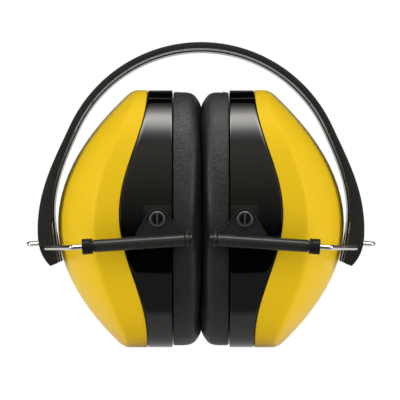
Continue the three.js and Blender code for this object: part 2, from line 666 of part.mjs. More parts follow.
// One cup with its stirrup and arms, built on the right and turned half round for the left.
function sideGroup(side) {
  const group = new THREE.Group();
  const turned = side === 'left';
  group.rotation.z = turned ? Math.PI : 0;
  group.add(piece(`${side}_cup_shell`, cupShell(), 'yellow'));
  group.add(piece(`${side}_cup_housing`, cupHousing(), 'gloss'));
  group.add(piece(`${side}_acoustic_foam`, acousticFoam(), 'foam'));
  group.add(piece(`${side}_seat_plate`, seatPlate(), 'plate'));
  group.add(piece(`${side}_cushion_foam`, cushionFoam(), 'foam'));
  group.add(piece(`${side}_cushion_skin`, cushionSkin(), 'skin'));
  const hinge = new THREE.Group();
  hinge.position.set(HINGE_X, 0, HINGE_Z);
  hinge.rotation.y = LIMB_SLOPE;
  hinge.add(piece(`${side}_stirrup_wire`, stirrupWire(), 'wire'));
  for (const end of [-1, 1]) {
    const place = (end < 0) === turned ? 'rear' : 'front';
    const facing = (geometry) => (end < 0 ? geometry : mirroredY(geometry));
    hinge.add(piece(`${side}_${place}_arm`, facing(arm()), 'arm'));
    hinge.add(piece(`${side}_${place}_friction_cap`, facing(frictionCap()), 'rubber'));
    hinge.add(piece(`${side}_${place}_end_ring`, facing(endRing()), 'arm'));
    group.add(piece(`${side}_${place}_pivot_stud`, end > 0 ? pivotStud() : mirroredY(pivotStud()), 'gloss'));
  }
  group.add(hinge);
  return group;
}

const earmuff = new THREE.Group();
earmuff.name = 'earmuff';
earmuff.add(piece('headband', headband(), 'band'));
earmuff.add(sideGroup('left'));
earmuff.add(sideGroup('right'));

export default earmuff;
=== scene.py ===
import math

import bmesh
import bpy
from mathutils import Matrix, Vector, noise


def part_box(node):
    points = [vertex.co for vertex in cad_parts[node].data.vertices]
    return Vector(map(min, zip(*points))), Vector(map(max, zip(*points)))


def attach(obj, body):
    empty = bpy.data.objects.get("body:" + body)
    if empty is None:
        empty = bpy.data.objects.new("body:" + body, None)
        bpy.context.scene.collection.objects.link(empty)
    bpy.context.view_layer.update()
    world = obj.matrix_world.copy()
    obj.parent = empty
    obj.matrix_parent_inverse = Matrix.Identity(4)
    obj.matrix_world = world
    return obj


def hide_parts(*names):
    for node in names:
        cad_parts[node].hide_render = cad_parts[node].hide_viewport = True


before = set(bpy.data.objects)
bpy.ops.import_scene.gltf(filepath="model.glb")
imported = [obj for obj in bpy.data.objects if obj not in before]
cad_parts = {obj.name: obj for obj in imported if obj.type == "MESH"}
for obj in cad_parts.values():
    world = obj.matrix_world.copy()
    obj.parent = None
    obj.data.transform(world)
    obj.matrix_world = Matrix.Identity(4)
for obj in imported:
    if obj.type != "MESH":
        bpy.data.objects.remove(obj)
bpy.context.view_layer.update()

bl_info = {
    "name": "Folding Earmuff",
    "version": (1, 0, 0),
    "blender": (4, 5, 0),
    "location": "View3D > Sidebar > Earmuff",
    "description": "Builds a folding earmuff hearing protector around its packed CAD frame",
    "category": "Object",
}

MM = 0.001
SIDES = ("left", "right")

# Sizes in millimetres, the same as the frame's.
CUP_LOW, CUP_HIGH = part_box("right_cup_housing")
CUP_HEIGHT = CUP_HIGH.z / MM
CUP_DEPTH = 79.0
CUP_FLAT = 22.0
CUP_WALL = 2.0
RIM_X = CUP_LOW.x / MM
DRAFT_X = 21.5
DRAFT_SLOPE = 0.118
DOME_REACH = 58.9
PEAK_Z = CUP_HEIGHT * 0.477
DOME_TOP_REACH = 28.6
DOME_FOOT_REACH = 32.2
DOME_SIDE_REACH = 42.7
SEAM_GAP = 0.36
FIT_GAP = 0.3
TONGUE_WALL = 1.2
INNER_WALL = CUP_WALL + FIT_GAP + TONGUE_WALL
FLANGE = 1.6
CUP_MIDDLE = CUP_HEIGHT / 2
EAR_WIDTH = 36.0
EAR_HEIGHT = 62.0
CUSHION_INSET = 0.8
HINGE_X = DOME_REACH + 3.5
HINGE_Z = CUP_HEIGHT * 0.387
LIMB_SLOPE = 0.0658
LIMB_Y = 43.0
PIN_X = 17.2
PIN_Z = CUP_MIDDLE + 0.1
TUBE_R = 2.5
LUG_INNER_Y = LIMB_Y - TUBE_R
LUG_THICKNESS = 2.3
PIN_ALONG = (HINGE_X - PIN_X) * math.cos(LIMB_SLOPE) + (PIN_Z - HINGE_Z) * math.sin(LIMB_SLOPE)
PIN_BESIDE = (PIN_Z - HINGE_Z) * math.cos(LIMB_SLOPE) - (HINGE_X - PIN_X) * math.sin(LIMB_SLOPE)
BAND_WIDTH = 31.0
BAND_TOP = CUP_HEIGHT + 16.8 + 2.5
BAND_RADIUS = 58.7


# ---------------------------------------------------------------- settings

class EarmuffSettings(bpy.types.PropertyGroup):
    shell_colour: bpy.props.FloatVectorProperty(
        name="Shell Colour", description="Colour of the outer cup shells",
        subtype="COLOR", size=3, min=0.0, max=1.0, default=(0.66, 0.43, 0.011))
    black_colour: bpy.props.FloatVectorProperty(
        name="Plastic Colour", description="Colour of the band, arms and cup housings",
        subtype="COLOR", size=3, min=0.0, max=1.0, default=(0.014, 0.014, 0.013))
    leather_colour: bpy.props.FloatVectorProperty(
        name="Cushion Colour", description="Colour of the cushions' cover",
        subtype="COLOR", size=3, min=0.0, max=1.0, default=(0.009, 0.009, 0.0085))
    crown: bpy.props.FloatProperty(
        name="Cushion Crown", description="How far the cushion's face stands out past its edge",
        unit="LENGTH", min=0.0, max=0.004, default=0.0022)
    wrinkle: bpy.props.FloatProperty(
        name="Cushion Wrinkles", description="Depth of the puckers beside the cushion's seam",
        unit="LENGTH", min=0.0, max=0.001, default=0.00028)
    pleats: bpy.props.IntProperty(
        name="Seam Pleats", description="Number of small pleats round each cushion's seam",
        min=0, max=400, default=170)
    wear: bpy.props.FloatProperty(
        name="Wear", description="Strength of dust and rubbed edges",
        subtype="FACTOR", min=0.0, max=1.0, default=0.35)


def settings():
    return bpy.context.scene.earmuff


# ---------------------------------------------------------------- shapes

def side_point(x, y, z, side):
    """A point of the right half in metres, or turned half round for the left one."""
    turn = -1.0 if side == "left" else 1.0
    return Vector((turn * x * MM, turn * y * MM, z * MM))


def cubic(a, b, c, d, steps):
    points = []
    for i in range(steps + 1):
        t = i / steps
        u = 1 - t
        points.append(tuple(u**3 * p + 3 * u * u * t * q + 3 * u * t * t * r + t**3 * s
                            for p, q, r, s in zip(a, b, c, d)))
    return points


def oval(depth, height, flat, steps=22):
    """Oval in Y and Z about the cup's middle, with flats at its top and bottom."""
    y, z, f = depth / 2, height / 2, flat / 2
    quarter = cubic((f, z), (f + 0.62 * (y - f), z), (y, 0.56 * z), (y, 0), steps)
    half = quarter + [(p, -q) for p, q in reversed(quarter[:-1])]
    top = [(-f + 2 * f * i / 4, z) for i in (1, 2, 3)]
    foot = [(f - 2 * f * i / 4, -z) for i in (1, 2, 3)]
    return half + foot + [(-p, q) for p, q in reversed(half)] + top


def dome_x(y, z, wall=0.0):
    rise = z - PEAK_Z
    span = CUP_HEIGHT - PEAK_Z if rise > 0 else PEAK_Z
    edge = DOME_TOP_REACH if rise > 0 else DOME_FOOT_REACH
    fall_z = (DOME_REACH - edge) / span**2
    side_y = CUP_DEPTH / 2 - (DOME_SIDE_REACH - DRAFT_X) * DRAFT_SLOPE
    fall_y = (DOME_REACH - DOME_SIDE_REACH) / side_y**2
    steep = math.sqrt(1 + (2 * fall_z * rise)**2 + (2 * fall_y * y)**2)
    return DOME_REACH - fall_z * rise**2 - fall_y * y**2 - wall * steep


def leaned(y, x):
    """Side wall's Y once the wall has leaned in at X."""
    return y * (1 - 2 * max(0.0, x - DRAFT_X) * DRAFT_SLOPE / CUP_DEPTH)


def edge_point(p, inset):
    z = CUP_MIDDLE + p[1]
    x, y = dome_x(p[0], z, inset), p[0]
    for _ in range(8):
        y = leaned(p[0], x)
        x = dome_x(y, z, inset)
    return x, y, z


def parting_x(z):
    t = (z - CUP_MIDDLE - 2.1) / (CUP_HEIGHT * 0.477)
    swell = math.cos(t * math.pi / 2)**2 if abs(t) < 1 else 0.0
    return 21.5 + 10.8 * swell


def wall_loop(inset, place):
    """Loop on a wall that lies inset inside the cup, at the X that place gives for each height."""
    loop = []
    for p in oval(CUP_DEPTH - 2 * inset, CUP_HEIGHT - 2 * inset, CUP_FLAT):
        z = CUP_MIDDLE + p[1]
        x = place(z)
        loop.append((x, leaned(p[0], x), z))
    return loop


def opening_loop(distance, x):
    """Loop round the ear opening, let out by a distance."""
    loop = []
    for p, q in zip(oval(EAR_WIDTH, EAR_HEIGHT, CUP_FLAT / 2), cushion_rim()):
        across = Vector((q[0] - p[0], q[1] - p[1])).normalized() * distance
        loop.append((x, p[0] + across.x, CUP_MIDDLE + p[1] + across.y))
    return loop


def cushion_rim():
    return oval(CUP_DEPTH - 2 * CUSHION_INSET, CUP_HEIGHT - 2 * CUSHION_INSET, CUP_FLAT)


def loft(loops, ends="ring", start=0):
    """Vertices and faces of a body through loops of points."""
    count = len(loops[0])
    verts = [v for loop in loops for v in loop]
    faces = []
    bands = len(loops) if ends == "ring" else len(loops) - 1
    for band in range(bands):
        near, far = band * count, ((band + 1) % len(loops)) * count
        for i in range(count):
            j = (i + 1) % count
            faces.append((near + i, near + j, far + j, far + i))
    if ends == "capped":
        faces.append(tuple(reversed(range(count))))
        faces.append(tuple(range((len(loops) - 1) * count, len(loops) * count)))
    return verts, [tuple(start + i for i in f) for f in faces]


def turned(profile, centre, axis="Y", sides=40):
    """Loops of a profile of (radius, distance) pairs turned round an axis through centre."""
    loops = []
    for r, d in profile:
        loop = []
        for i in range(sides):
            a = 2 * math.pi * i / sides
            c, s = r * math.cos(a), r * math.sin(a)
            offset = {"X": (d, c, s), "Y": (c, d, s), "Z": (c, s, d)}[axis]
            loop.append(tuple(m + o for m, o in zip(centre, offset)))
        loops.append(loop)
    return loops


def soft_corner(a, b, c, cut, steps=3):
    """Points of a rounded corner at b between a and c."""
    b3 = Vector(b)
    into, out = (Vector(a) - b3), (Vector(c) - b3)
    p = b3 + into.normalized() * min(cut, into.length * 0.49)
    q = b3 + out.normalized() * min(cut, out.length * 0.49)
    points = []
    for i in range(steps + 1):
        t = i / steps
        points.append(tuple((1 - t)**2 * p + 2 * t * (1 - t) * b3 + t * t * q))
    return points


def rounded(profile, cut, closed=False):
    """A profile with every inner corner rounded."""
    points = [] if closed else [profile[0]]
    span = range(len(profile)) if closed else range(1, len(profile) - 1)
    for i in span:
        points += soft_corner(profile[i - 1], profile[i], profile[(i + 1) % len(profile)], cut)
    return points if closed else points + [profile[-1]]


class Body:
    """Collects closed shells, in millimetres of the right half, and makes one object of them."""

    def __init__(self, place=None):
        self.verts, self.faces = [], []
        self.place = place or (lambda v: v)

    def add(self, loops, ends="ring"):
        verts, faces = loft(loops, ends, len(self.verts))
        self.verts += [self.place(v) for v in verts]
        self.faces += faces
        return self

    def make(self, name, side, material, sharp=32.0):
        mesh = bpy.data.meshes.new(name)
        points = [side_point(*v, side) for v in self.verts]
        mesh.from_pydata(points, [], self.faces)
        finish_mesh(mesh, sharp)
        return add_object(name, mesh, material)


def finish_mesh(mesh, sharp):
    """Faces outwards, smooth shading with hard edges where the surface really turns."""
    bm = bmesh.new()
    bm.from_mesh(mesh)
    bmesh.ops.remove_doubles(bm, verts=bm.verts, dist=1e-7)
    bmesh.ops.dissolve_degenerate(bm, edges=bm.edges, dist=1e-8)
    bmesh.ops.recalc_face_normals(bm, faces=bm.faces)
    for face in bm.faces:
        face.smooth = True
    for e in bm.edges:
        e.smooth = e.calc_face_angle(0.0) < math.radians(sharp)
    bm.to_mesh(mesh)
    bm.free()


def add_object(name, mesh, material):
    obj = bpy.data.objects.new(name, mesh)
    bpy.context.scene.collection.objects.link(obj)
    mesh.materials.clear()
    mesh.materials.append(material)
    return obj


def baked(obj):
    """The object with its modifiers made into a plain mesh."""
    bpy.context.view_layer.update()
    graph = bpy.context.evaluated_depsgraph_get()
    mesh = bpy.data.meshes.new_from_object(obj.evaluated_get(graph))
    old = obj.data
    obj.modifiers.clear()
    obj.data = mesh
    bpy.data.meshes.remove(old)
    return obj


def settle(obj, body, slot, *nodes):
    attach(obj, body)
    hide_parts(*nodes)
    return obj


# ---------------------------------------------------------------- materials

class Tree:
    """Short way to add nodes to a node tree and join them."""

    def __init__(self, tree):
        self.tree = tree

    def add(self, kind, values=None, **facts):
        node = self.tree.nodes.new(kind)
        for key, value in facts.items():
            setattr(node, key, value)
        for key, value in (values or {}).items():
            if isinstance(value, bpy.types.NodeSocket):
                self.tree.links.new(value, node.inputs[key])
            else:
                node.inputs[key].default_value = value
        return node

    def math(self, operation, a, b=0.0):
        return self.add("ShaderNodeMath", {0: a, 1: b}, operation=operation).outputs[0]


def group_tree(name, inputs, outputs):
    """A shared shader group with named sockets, or None if it is there already."""
    if name in bpy.data.node_groups:
        return None
    tree = bpy.data.node_groups.new(name, "ShaderNodeTree")
    for socket, kind, default in inputs:
        item = tree.interface.new_socket(socket, in_out="INPUT", socket_type=kind)
        item.default_value = default
    for socket, kind in outputs:
        tree.interface.new_socket(socket, in_out="OUTPUT", socket_type=kind)
    return Tree(tree)


def moulded_group():
    """Fine surface unevenness, slow tone changes and specks of dust on moulded plastic."""
    name = "Moulded Surface"
    t = group_tree(name, [("Scale", "NodeSocketFloat", 900.0), ("Grain", "NodeSocketFloat", 0.1),
                          ("Dust", "NodeSocketFloat", 0.3)],
                   [("Tone", "NodeSocketFloat"), ("Dust Mask", "NodeSocketFloat"),
                    ("Gloss Change", "NodeSocketFloat"), ("Normal", "NodeSocketVector")])
    if t:
        start = t.add("NodeGroupInput").outputs
        where = t.add("ShaderNodeTexCoord").outputs["Object"]
        slow = t.add("ShaderNodeTexNoise", {"Vector": where, "Scale": 38.0, "Detail": 3.0}).outputs["Fac"]
        fine = t.add("ShaderNodeTexNoise", {"Vector": where, "Scale": start["Scale"],
                                            "Detail": 4.0}).outputs["Fac"]
        specks = t.add("ShaderNodeTexVoronoi", {"Vector": where, "Scale": 620.0}).outputs["Distance"]
        spots = t.add("ShaderNodeMapRange", {0: specks, 1: 0.05, 2: 0.14, 3: 1.0, 4: 0.0}).outputs[0]
        patch = t.add("ShaderNodeMapRange", {0: slow, 1: 0.5, 2: 0.72, 3: 0.0, 4: 1.0}).outputs[0]
        dust = t.math("MULTIPLY", t.math("MULTIPLY", spots, patch), start["Dust"])
        bump = t.add("ShaderNodeBump", {"Strength": start["Grain"], "Distance": 0.0001, "Height": fine})
        t.add("NodeGroupOutput", {"Tone": slow, "Dust Mask": dust, "Gloss Change": fine,
                                  "Normal": bump.outputs[0]})
    return bpy.data.node_groups[name]


def worn_edge_group():
    """Where convex edges are rubbed pale, broken up by noise."""
    name = "Worn Edges"
    t = group_tree(name, [("Amount", "NodeSocketFloat", 0.3)], [("Mask", "NodeSocketFloat")])
    if t:
        start = t.add("NodeGroupInput").outputs
        point = t.add("ShaderNodeNewGeometry").outputs["Pointiness"]
        where = t.add("ShaderNodeTexCoord").outputs["Object"]
        broken = t.add("ShaderNodeTexNoise", {"Vector": where, "Scale": 420.0, "Detail": 5.0}).outputs["Fac"]
        edge = t.add("ShaderNodeMapRange", {0: point, 1: 0.56, 2: 0.72, 3: 0.0, 4: 1.0}).outputs[0]
        t.add("NodeGroupOutput", {"Mask": t.math("MULTIPLY", t.math("MULTIPLY", edge, broken),
                                                 start["Amount"])})
    return bpy.data.node_groups[name]


def leather_group():
    """Pebbled grain and fine creases of a leatherette cover."""
    name = "Leather Grain"
    t = group_tree(name, [("Scale", "NodeSocketFloat", 1900.0), ("Depth", "NodeSocketFloat", 0.75)],
                   [("Height", "NodeSocketFloat"), ("Tone", "NodeSocketFloat"),
                    ("Normal", "NodeSocketVector")])
    if t:
        start = t.add("NodeGroupInput").outputs
        where = t.add("ShaderNodeTexCoord").outputs["Object"]
        warp = t.add("ShaderNodeTexNoise", {"Vector": where, "Scale": 260.0, "Detail": 2.0}).outputs["Color"]
        bent = t.add("ShaderNodeMix", {"Factor": 0.004, "A": where, "B": warp}, data_type="VECTOR")
        cells = t.add("ShaderNodeTexVoronoi", {"Vector": bent.outputs[1], "Scale": start["Scale"]},
                      feature="SMOOTH_F1").outputs["Distance"]
        soft = t.add("ShaderNodeTexNoise", {"Vector": where, "Scale": 95.0, "Detail": 4.0}).outputs["Fac"]
        height = t.math("ADD", t.math("MULTIPLY", cells, 0.7), t.math("MULTIPLY", soft, 0.6))
        bump = t.add("ShaderNodeBump", {"Strength": start["Depth"], "Distance": 0.0003, "Height": height})
        t.add("NodeGroupOutput", {"Height": cells, "Tone": soft, "Normal": bump.outputs[0]})
    return bpy.data.node_groups[name]


def foam_group():
    """Open pores of foam."""
    name = "Foam Pores"
    t = group_tree(name, [("Scale", "NodeSocketFloat", 900.0)],
                   [("Mask", "NodeSocketFloat"), ("Normal", "NodeSocketVector")])
    if t:
        start = t.add("NodeGroupInput").outputs
        where = t.add("ShaderNodeTexCoord").outputs["Object"]
        cells = t.add("ShaderNodeTexVoronoi", {"Vector": where, "Scale": start["Scale"]}).outputs["Distance"]
        mask = t.add("ShaderNodeMapRange", {0: cells, 1: 0.15, 2: 0.6, 3: 0.0, 4: 1.0}).outputs[0]
        bump = t.add("ShaderNodeBump", {"Strength": 0.9, "Distance": 0.0006, "Height": mask})
        t.add("NodeGroupOutput", {"Mask": mask, "Normal": bump.outputs[0]})
    return bpy.data.node_groups[name]


def drawn_wire_group():
    """Fine scratches along polished steel wire."""
    name = "Drawn Wire"
    t = group_tree(name, [("Scale", "NodeSocketFloat", 300.0)],
                   [("Tone", "NodeSocketFloat"), ("Gloss Change", "NodeSocketFloat")])
    if t:
        start = t.add("NodeGroupInput").outputs
        where = t.add("ShaderNodeTexCoord").outputs["Object"]
        stretched = t.add("ShaderNodeVectorMath", {0: where, 1: (0.15, 0.15, 2.5)}, operation="MULTIPLY")
        lines = t.add("ShaderNodeTexNoise", {"Vector": stretched.outputs[0], "Scale": start["Scale"],
                                             "Detail": 5.0}).outputs["Fac"]
        slow = t.add("ShaderNodeTexNoise", {"Vector": where, "Scale": 55.0}).outputs["Fac"]
        t.add("NodeGroupOutput", {"Tone": slow, "Gloss Change": lines})
    return bpy.data.node_groups[name]


def new_material(name):
    material = bpy.data.materials.new(name)
    material.use_nodes = True
    tree = Tree(material.node_tree)
    return material, tree, material.node_tree.nodes["Principled BSDF"]


def mix_rgba(t, factor, a, b):
    """Colour mix whose ends are colours or sockets."""
    node = t.add("ShaderNodeMix", data_type="RGBA")
    for key, value in ((0, factor), (6, a), (7, b)):
        if isinstance(value, bpy.types.NodeSocket):
            t.tree.links.new(value, node.inputs[key])
        else:
            node.inputs[key].default_value = (*value, 1.0) if key else value
    return node.outputs[2]


def plastic(name, colour, rough, scale=900.0, grain=0.1, coat=0.0, spread=0.12, specular=0.5, rub=0.25):
    """Moulded plastic: slow tone change, fine grain, dust in patches and rubbed edges."""
    if name in bpy.data.materials:
        return bpy.data.materials[name]
    material, t, shader = new_material(name)
    wear = settings().wear
    group = t.add("ShaderNodeGroup", node_tree=moulded_group())
    group.inputs["Scale"].default_value = scale
    group.inputs["Grain"].default_value = grain
    group.inputs["Dust"].default_value = wear * 0.5
    edge = t.add("ShaderNodeGroup", node_tree=worn_edge_group())
    edge.inputs["Amount"].default_value = wear * rub
    darker = tuple(c * (1 - spread) for c in colour)
    lighter = tuple(min(1.0, c * (1 + spread)) for c in colour)
    pale = tuple(0.75 * c + 0.06 for c in colour)
    tone = mix_rgba(t, group.outputs["Tone"], darker, lighter)
    tone = mix_rgba(t, edge.outputs[0], tone, pale)
    tone = mix_rgba(t, group.outputs["Dust Mask"], tone, (0.35, 0.34, 0.31))
    t.tree.links.new(tone, shader.inputs["Base Color"])
    gloss = t.add("ShaderNodeMapRange", {0: group.outputs["Gloss Change"], 1: 0.3, 2: 0.7,
                                         3: rough * 0.85, 4: rough * 1.2}).outputs[0]
    t.tree.links.new(gloss, shader.inputs["Roughness"])
    t.tree.links.new(group.outputs["Normal"], shader.inputs["Normal"])
    shader.inputs["Coat Weight"].default_value = coat
    shader.inputs["Coat Roughness"].default_value = 0.06
    shader.inputs["Specular IOR Level"].default_value = specular
    return material


def yellow_plastic():
    material = plastic("yellow_shell_plastic", tuple(settings().shell_colour), 0.34, 700.0, 0.05, 0.0, 0.03,
                       0.14, 0.05)
    material.node_tree.nodes["Principled BSDF"].inputs["Specular Tint"].default_value = (1.0, 0.7, 0.12, 1.0)
    return material


def gloss_black():
    return plastic("housing_gloss_black", (0.0008, 0.0008, 0.0009), 0.07, 300.0, 0.025, 0.0, 0.2)


def satin_black():
    return plastic("band_satin_black", tuple(settings().black_colour), 0.24, 1500.0, 0.1, 0.0, 0.2)


def arm_black():
    base = tuple(c * 1.2 for c in settings().black_colour)
    return plastic("arm_satin_black", base, 0.25, 1700.0, 0.12, 0.0, 0.2, 0.24)


def stud_black():
    return plastic("stud_satin_black", (0.03, 0.03, 0.031), 0.3, 1700.0, 0.12, 0.0, 0.2, 0.7, 0.6)


def cap_rubber():
    return plastic("soft_cap_rubber", (0.008, 0.008, 0.008), 0.32, 2200.0, 0.2, 0.0, 0.25, 0.1, 0.0)


def plate_black():
    return plastic("plate_black", (0.02, 0.02, 0.02), 0.5, 1200.0, 0.2, 0.0, 0.2)


def leatherette():
    name = "cushion_leatherette"
    if name in bpy.data.materials:
        return bpy.data.materials[name]
    material, t, shader = new_material(name)
    colour = tuple(settings().leather_colour)
    group = t.add("ShaderNodeGroup", node_tree=leather_group())
    tone = mix_rgba(t, group.outputs["Tone"], tuple(c * 0.7 for c in colour), tuple(c * 1.5 for c in colour))
    tone = mix_rgba(t, t.math("MULTIPLY", group.outputs["Height"], 0.3), tone, (0.02, 0.02, 0.019))
    t.tree.links.new(tone, shader.inputs["Base Color"])
    gloss = t.add("ShaderNodeMapRange", {0: group.outputs["Tone"], 1: 0.3, 2: 0.7, 3: 0.42, 4: 0.58}).outputs[0]
    t.tree.links.new(gloss, shader.inputs["Roughness"])
    t.tree.links.new(group.outputs["Normal"], shader.inputs["Normal"])
    shader.inputs["Specular IOR Level"].default_value = 0.32
    return material


def foam(name, colour):
    if name in bpy.data.materials:
        return bpy.data.materials[name]
    material, t, shader = new_material(name)
    group = t.add("ShaderNodeGroup", node_tree=foam_group())
    tone = mix_rgba(t, group.outputs["Mask"], tuple(c * 0.3 for c in colour), colour)
    t.tree.links.new(tone, shader.inputs["Base Color"])
    t.tree.links.new(group.outputs["Normal"], shader.inputs["Normal"])
    shader.inputs["Roughness"].default_value = 0.95
    shader.inputs["Sheen Weight"].default_value = 0.2
    return material


def steel():
    name = "wire_steel"
    if name in bpy.data.materials:
        return bpy.data.materials[name]
    material, t, shader = new_material(name)
    group = t.add("ShaderNodeGroup", node_tree=drawn_wire_group())
    tone = mix_rgba(t, group.outputs["Tone"], (0.62, 0.6, 0.56), (0.8, 0.78, 0.74))
    t.tree.links.new(tone, shader.inputs["Base Color"])
    gloss = t.add("ShaderNodeMapRange", {0: group.outputs["Gloss Change"], 1: 0.3, 2: 0.7,
                                         3: 0.14, 4: 0.28}).outputs[0]
    t.tree.links.new(gloss, shader.inputs["Roughness"])
    shader.inputs["Metallic"].default_value = 1.0
    return material


# ---------------------------------------------------------------- pieces

class EARMUFF_OT_shells(bpy.types.Operator):
    """Build the outer cup shells: side walls with a lip at the parting line and a domed end"""
    bl_idname = "earmuff.shells"
    bl_label = "Cup Shells"

    def loops(self):
        outline = oval(CUP_DEPTH, CUP_HEIGHT, CUP_FLAT)
        half_seam = SEAM_GAP / 2
        edges = [edge_point(p, 0.0) for p in outline]
        inner = [edge_point(p, CUP_WALL)
                 for p in oval(CUP_DEPTH - 2 * CUP_WALL, CUP_HEIGHT - 2 * CUP_WALL, CUP_FLAT)]
        soft = 1.3
        loops = []
        for share in (0.02, 0.2, 0.4, 0.6, 0.8, 0.94):
            loops.append([(dome_x(y * share, PEAK_Z + (z - PEAK_Z) * share, CUP_WALL), y * share,
                           PEAK_Z + (z - PEAK_Z) * share) for x, y, z in inner])
        loops.append([(x - 0.3, y, z) for x, y, z in inner])
        loops.append(wall_loop(CUP_WALL, lambda z: parting_x(z) + half_seam))
        loops.append(wall_loop(0.35, lambda z: parting_x(z) + half_seam))
        loops.append(wall_loop(0.1, lambda z: parting_x(z) + half_seam + 0.1))
        loops.append(wall_loop(0.0, lambda z: parting_x(z) + half_seam + 0.35))
        for share in (0.12, 0.35, 0.6, 0.85, 1.0):
            loop = []
            for p, e in zip(outline, edges):
                start = parting_x(e[2]) + half_seam + 0.35
                x = start + (e[0] - soft - start) * share
                loop.append((x, leaned(p[0], x), e[2]))
            loops.append(loop)
        for t in (0.25, 0.5, 0.75, 1.0):
            loop = []
            for p, e in zip(outline, edges):
                a = Vector((e[0] - soft, leaned(p[0], e[0] - soft), e[2]))
                y, z = e[1] * 0.965, PEAK_Z + (e[2] - PEAK_Z) * 0.965
                c = Vector((dome_x(y, z), y, z))
                loop.append(tuple((1 - t)**2 * a + 2 * t * (1 - t) * Vector(e) + t * t * c))
            loops.append(loop)
        for share in (0.92, 0.85, 0.77, 0.69, 0.61, 0.53, 0.45, 0.37, 0.29, 0.21, 0.13, 0.05):
            loops.append([(dome_x(y * share, PEAK_Z + (z - PEAK_Z) * share), y * share,
                           PEAK_Z + (z - PEAK_Z) * share) for x, y, z in edges])
        return loops

    def execute(self, context):
        for side in SIDES:
            obj = Body().add(self.loops(), "capped").make(f"{side}_shell", side, yellow_plastic(), 40)
            settle(obj, f"{side}_cup", "shell_yellow", f"{side}_cup_shell")
        return {"FINISHED"}


class EARMUFF_OT_housings(bpy.types.Operator):
    """Build the inner cup housings: rim, outer wall, tongue, flange and raised pivot pads"""
    bl_idname = "earmuff.housings"
    bl_label = "Cup Housings"

    def loops(self):
        mouth = 1.0 + FIT_GAP + 1.6 + FIT_GAP
        half_seam = SEAM_GAP / 2
        end = lambda z: parting_x(z) - half_seam
        loops = [wall_loop(0.45, lambda z: RIM_X), wall_loop(0.13, lambda z: RIM_X + 0.12),
                 wall_loop(0.0, lambda z: RIM_X + 0.45)]
        for share in (0.05, 0.3, 0.6, 0.9):
            loops.append(wall_loop(0.0, lambda z, s=share: RIM_X + 0.45 + (end(z) - 0.3 - RIM_X - 0.45) * s))
        loops += [wall_loop(0.0, lambda z: end(z) - 0.25), wall_loop(0.07, lambda z: end(z) - 0.07),
                  wall_loop(0.25, end), wall_loop(CUP_WALL + FIT_GAP, end),
                  wall_loop(CUP_WALL + FIT_GAP, lambda z: parting_x(z) + 3.0),
                  wall_loop(INNER_WALL, lambda z: parting_x(z) + 3.0),
                  wall_loop(INNER_WALL, lambda z: RIM_X + FLANGE), opening_loop(mouth, RIM_X + FLANGE),
                  opening_loop(mouth, RIM_X)]
        return loops

    def pad(self, facing):
        """A raised pad round the pivot, with soft edges."""
        face = CUP_DEPTH / 2 + 0.5
        x0, x1, z0, z1 = RIM_X + 0.1, PIN_X + 5.5, PIN_Z - 5.5, PIN_Z + 5.5
        loops = []
        for depth, shrink in ((face - 1.6, 0.0), (face - 0.3, 0.0), (face - 0.09, 0.09), (face, 0.3)):
            y = facing * depth
            loops.append([(x0 + shrink, y, z0 + shrink), (x1 - shrink, y, z0 + shrink),
                          (x1 - shrink, y, z1 - shrink), (x0 + shrink, y, z1 - shrink)])
        return loops

    def execute(self, context):
        for side in SIDES:
            body = Body().add(self.loops())
            for facing in (-1, 1):
                body.add(self.pad(facing), "capped")
            obj = body.make(f"{side}_housing", side, gloss_black(), 34)
            settle(obj, f"{side}_cup", "housing_black", f"{side}_cup_housing")
        return {"FINISHED"}


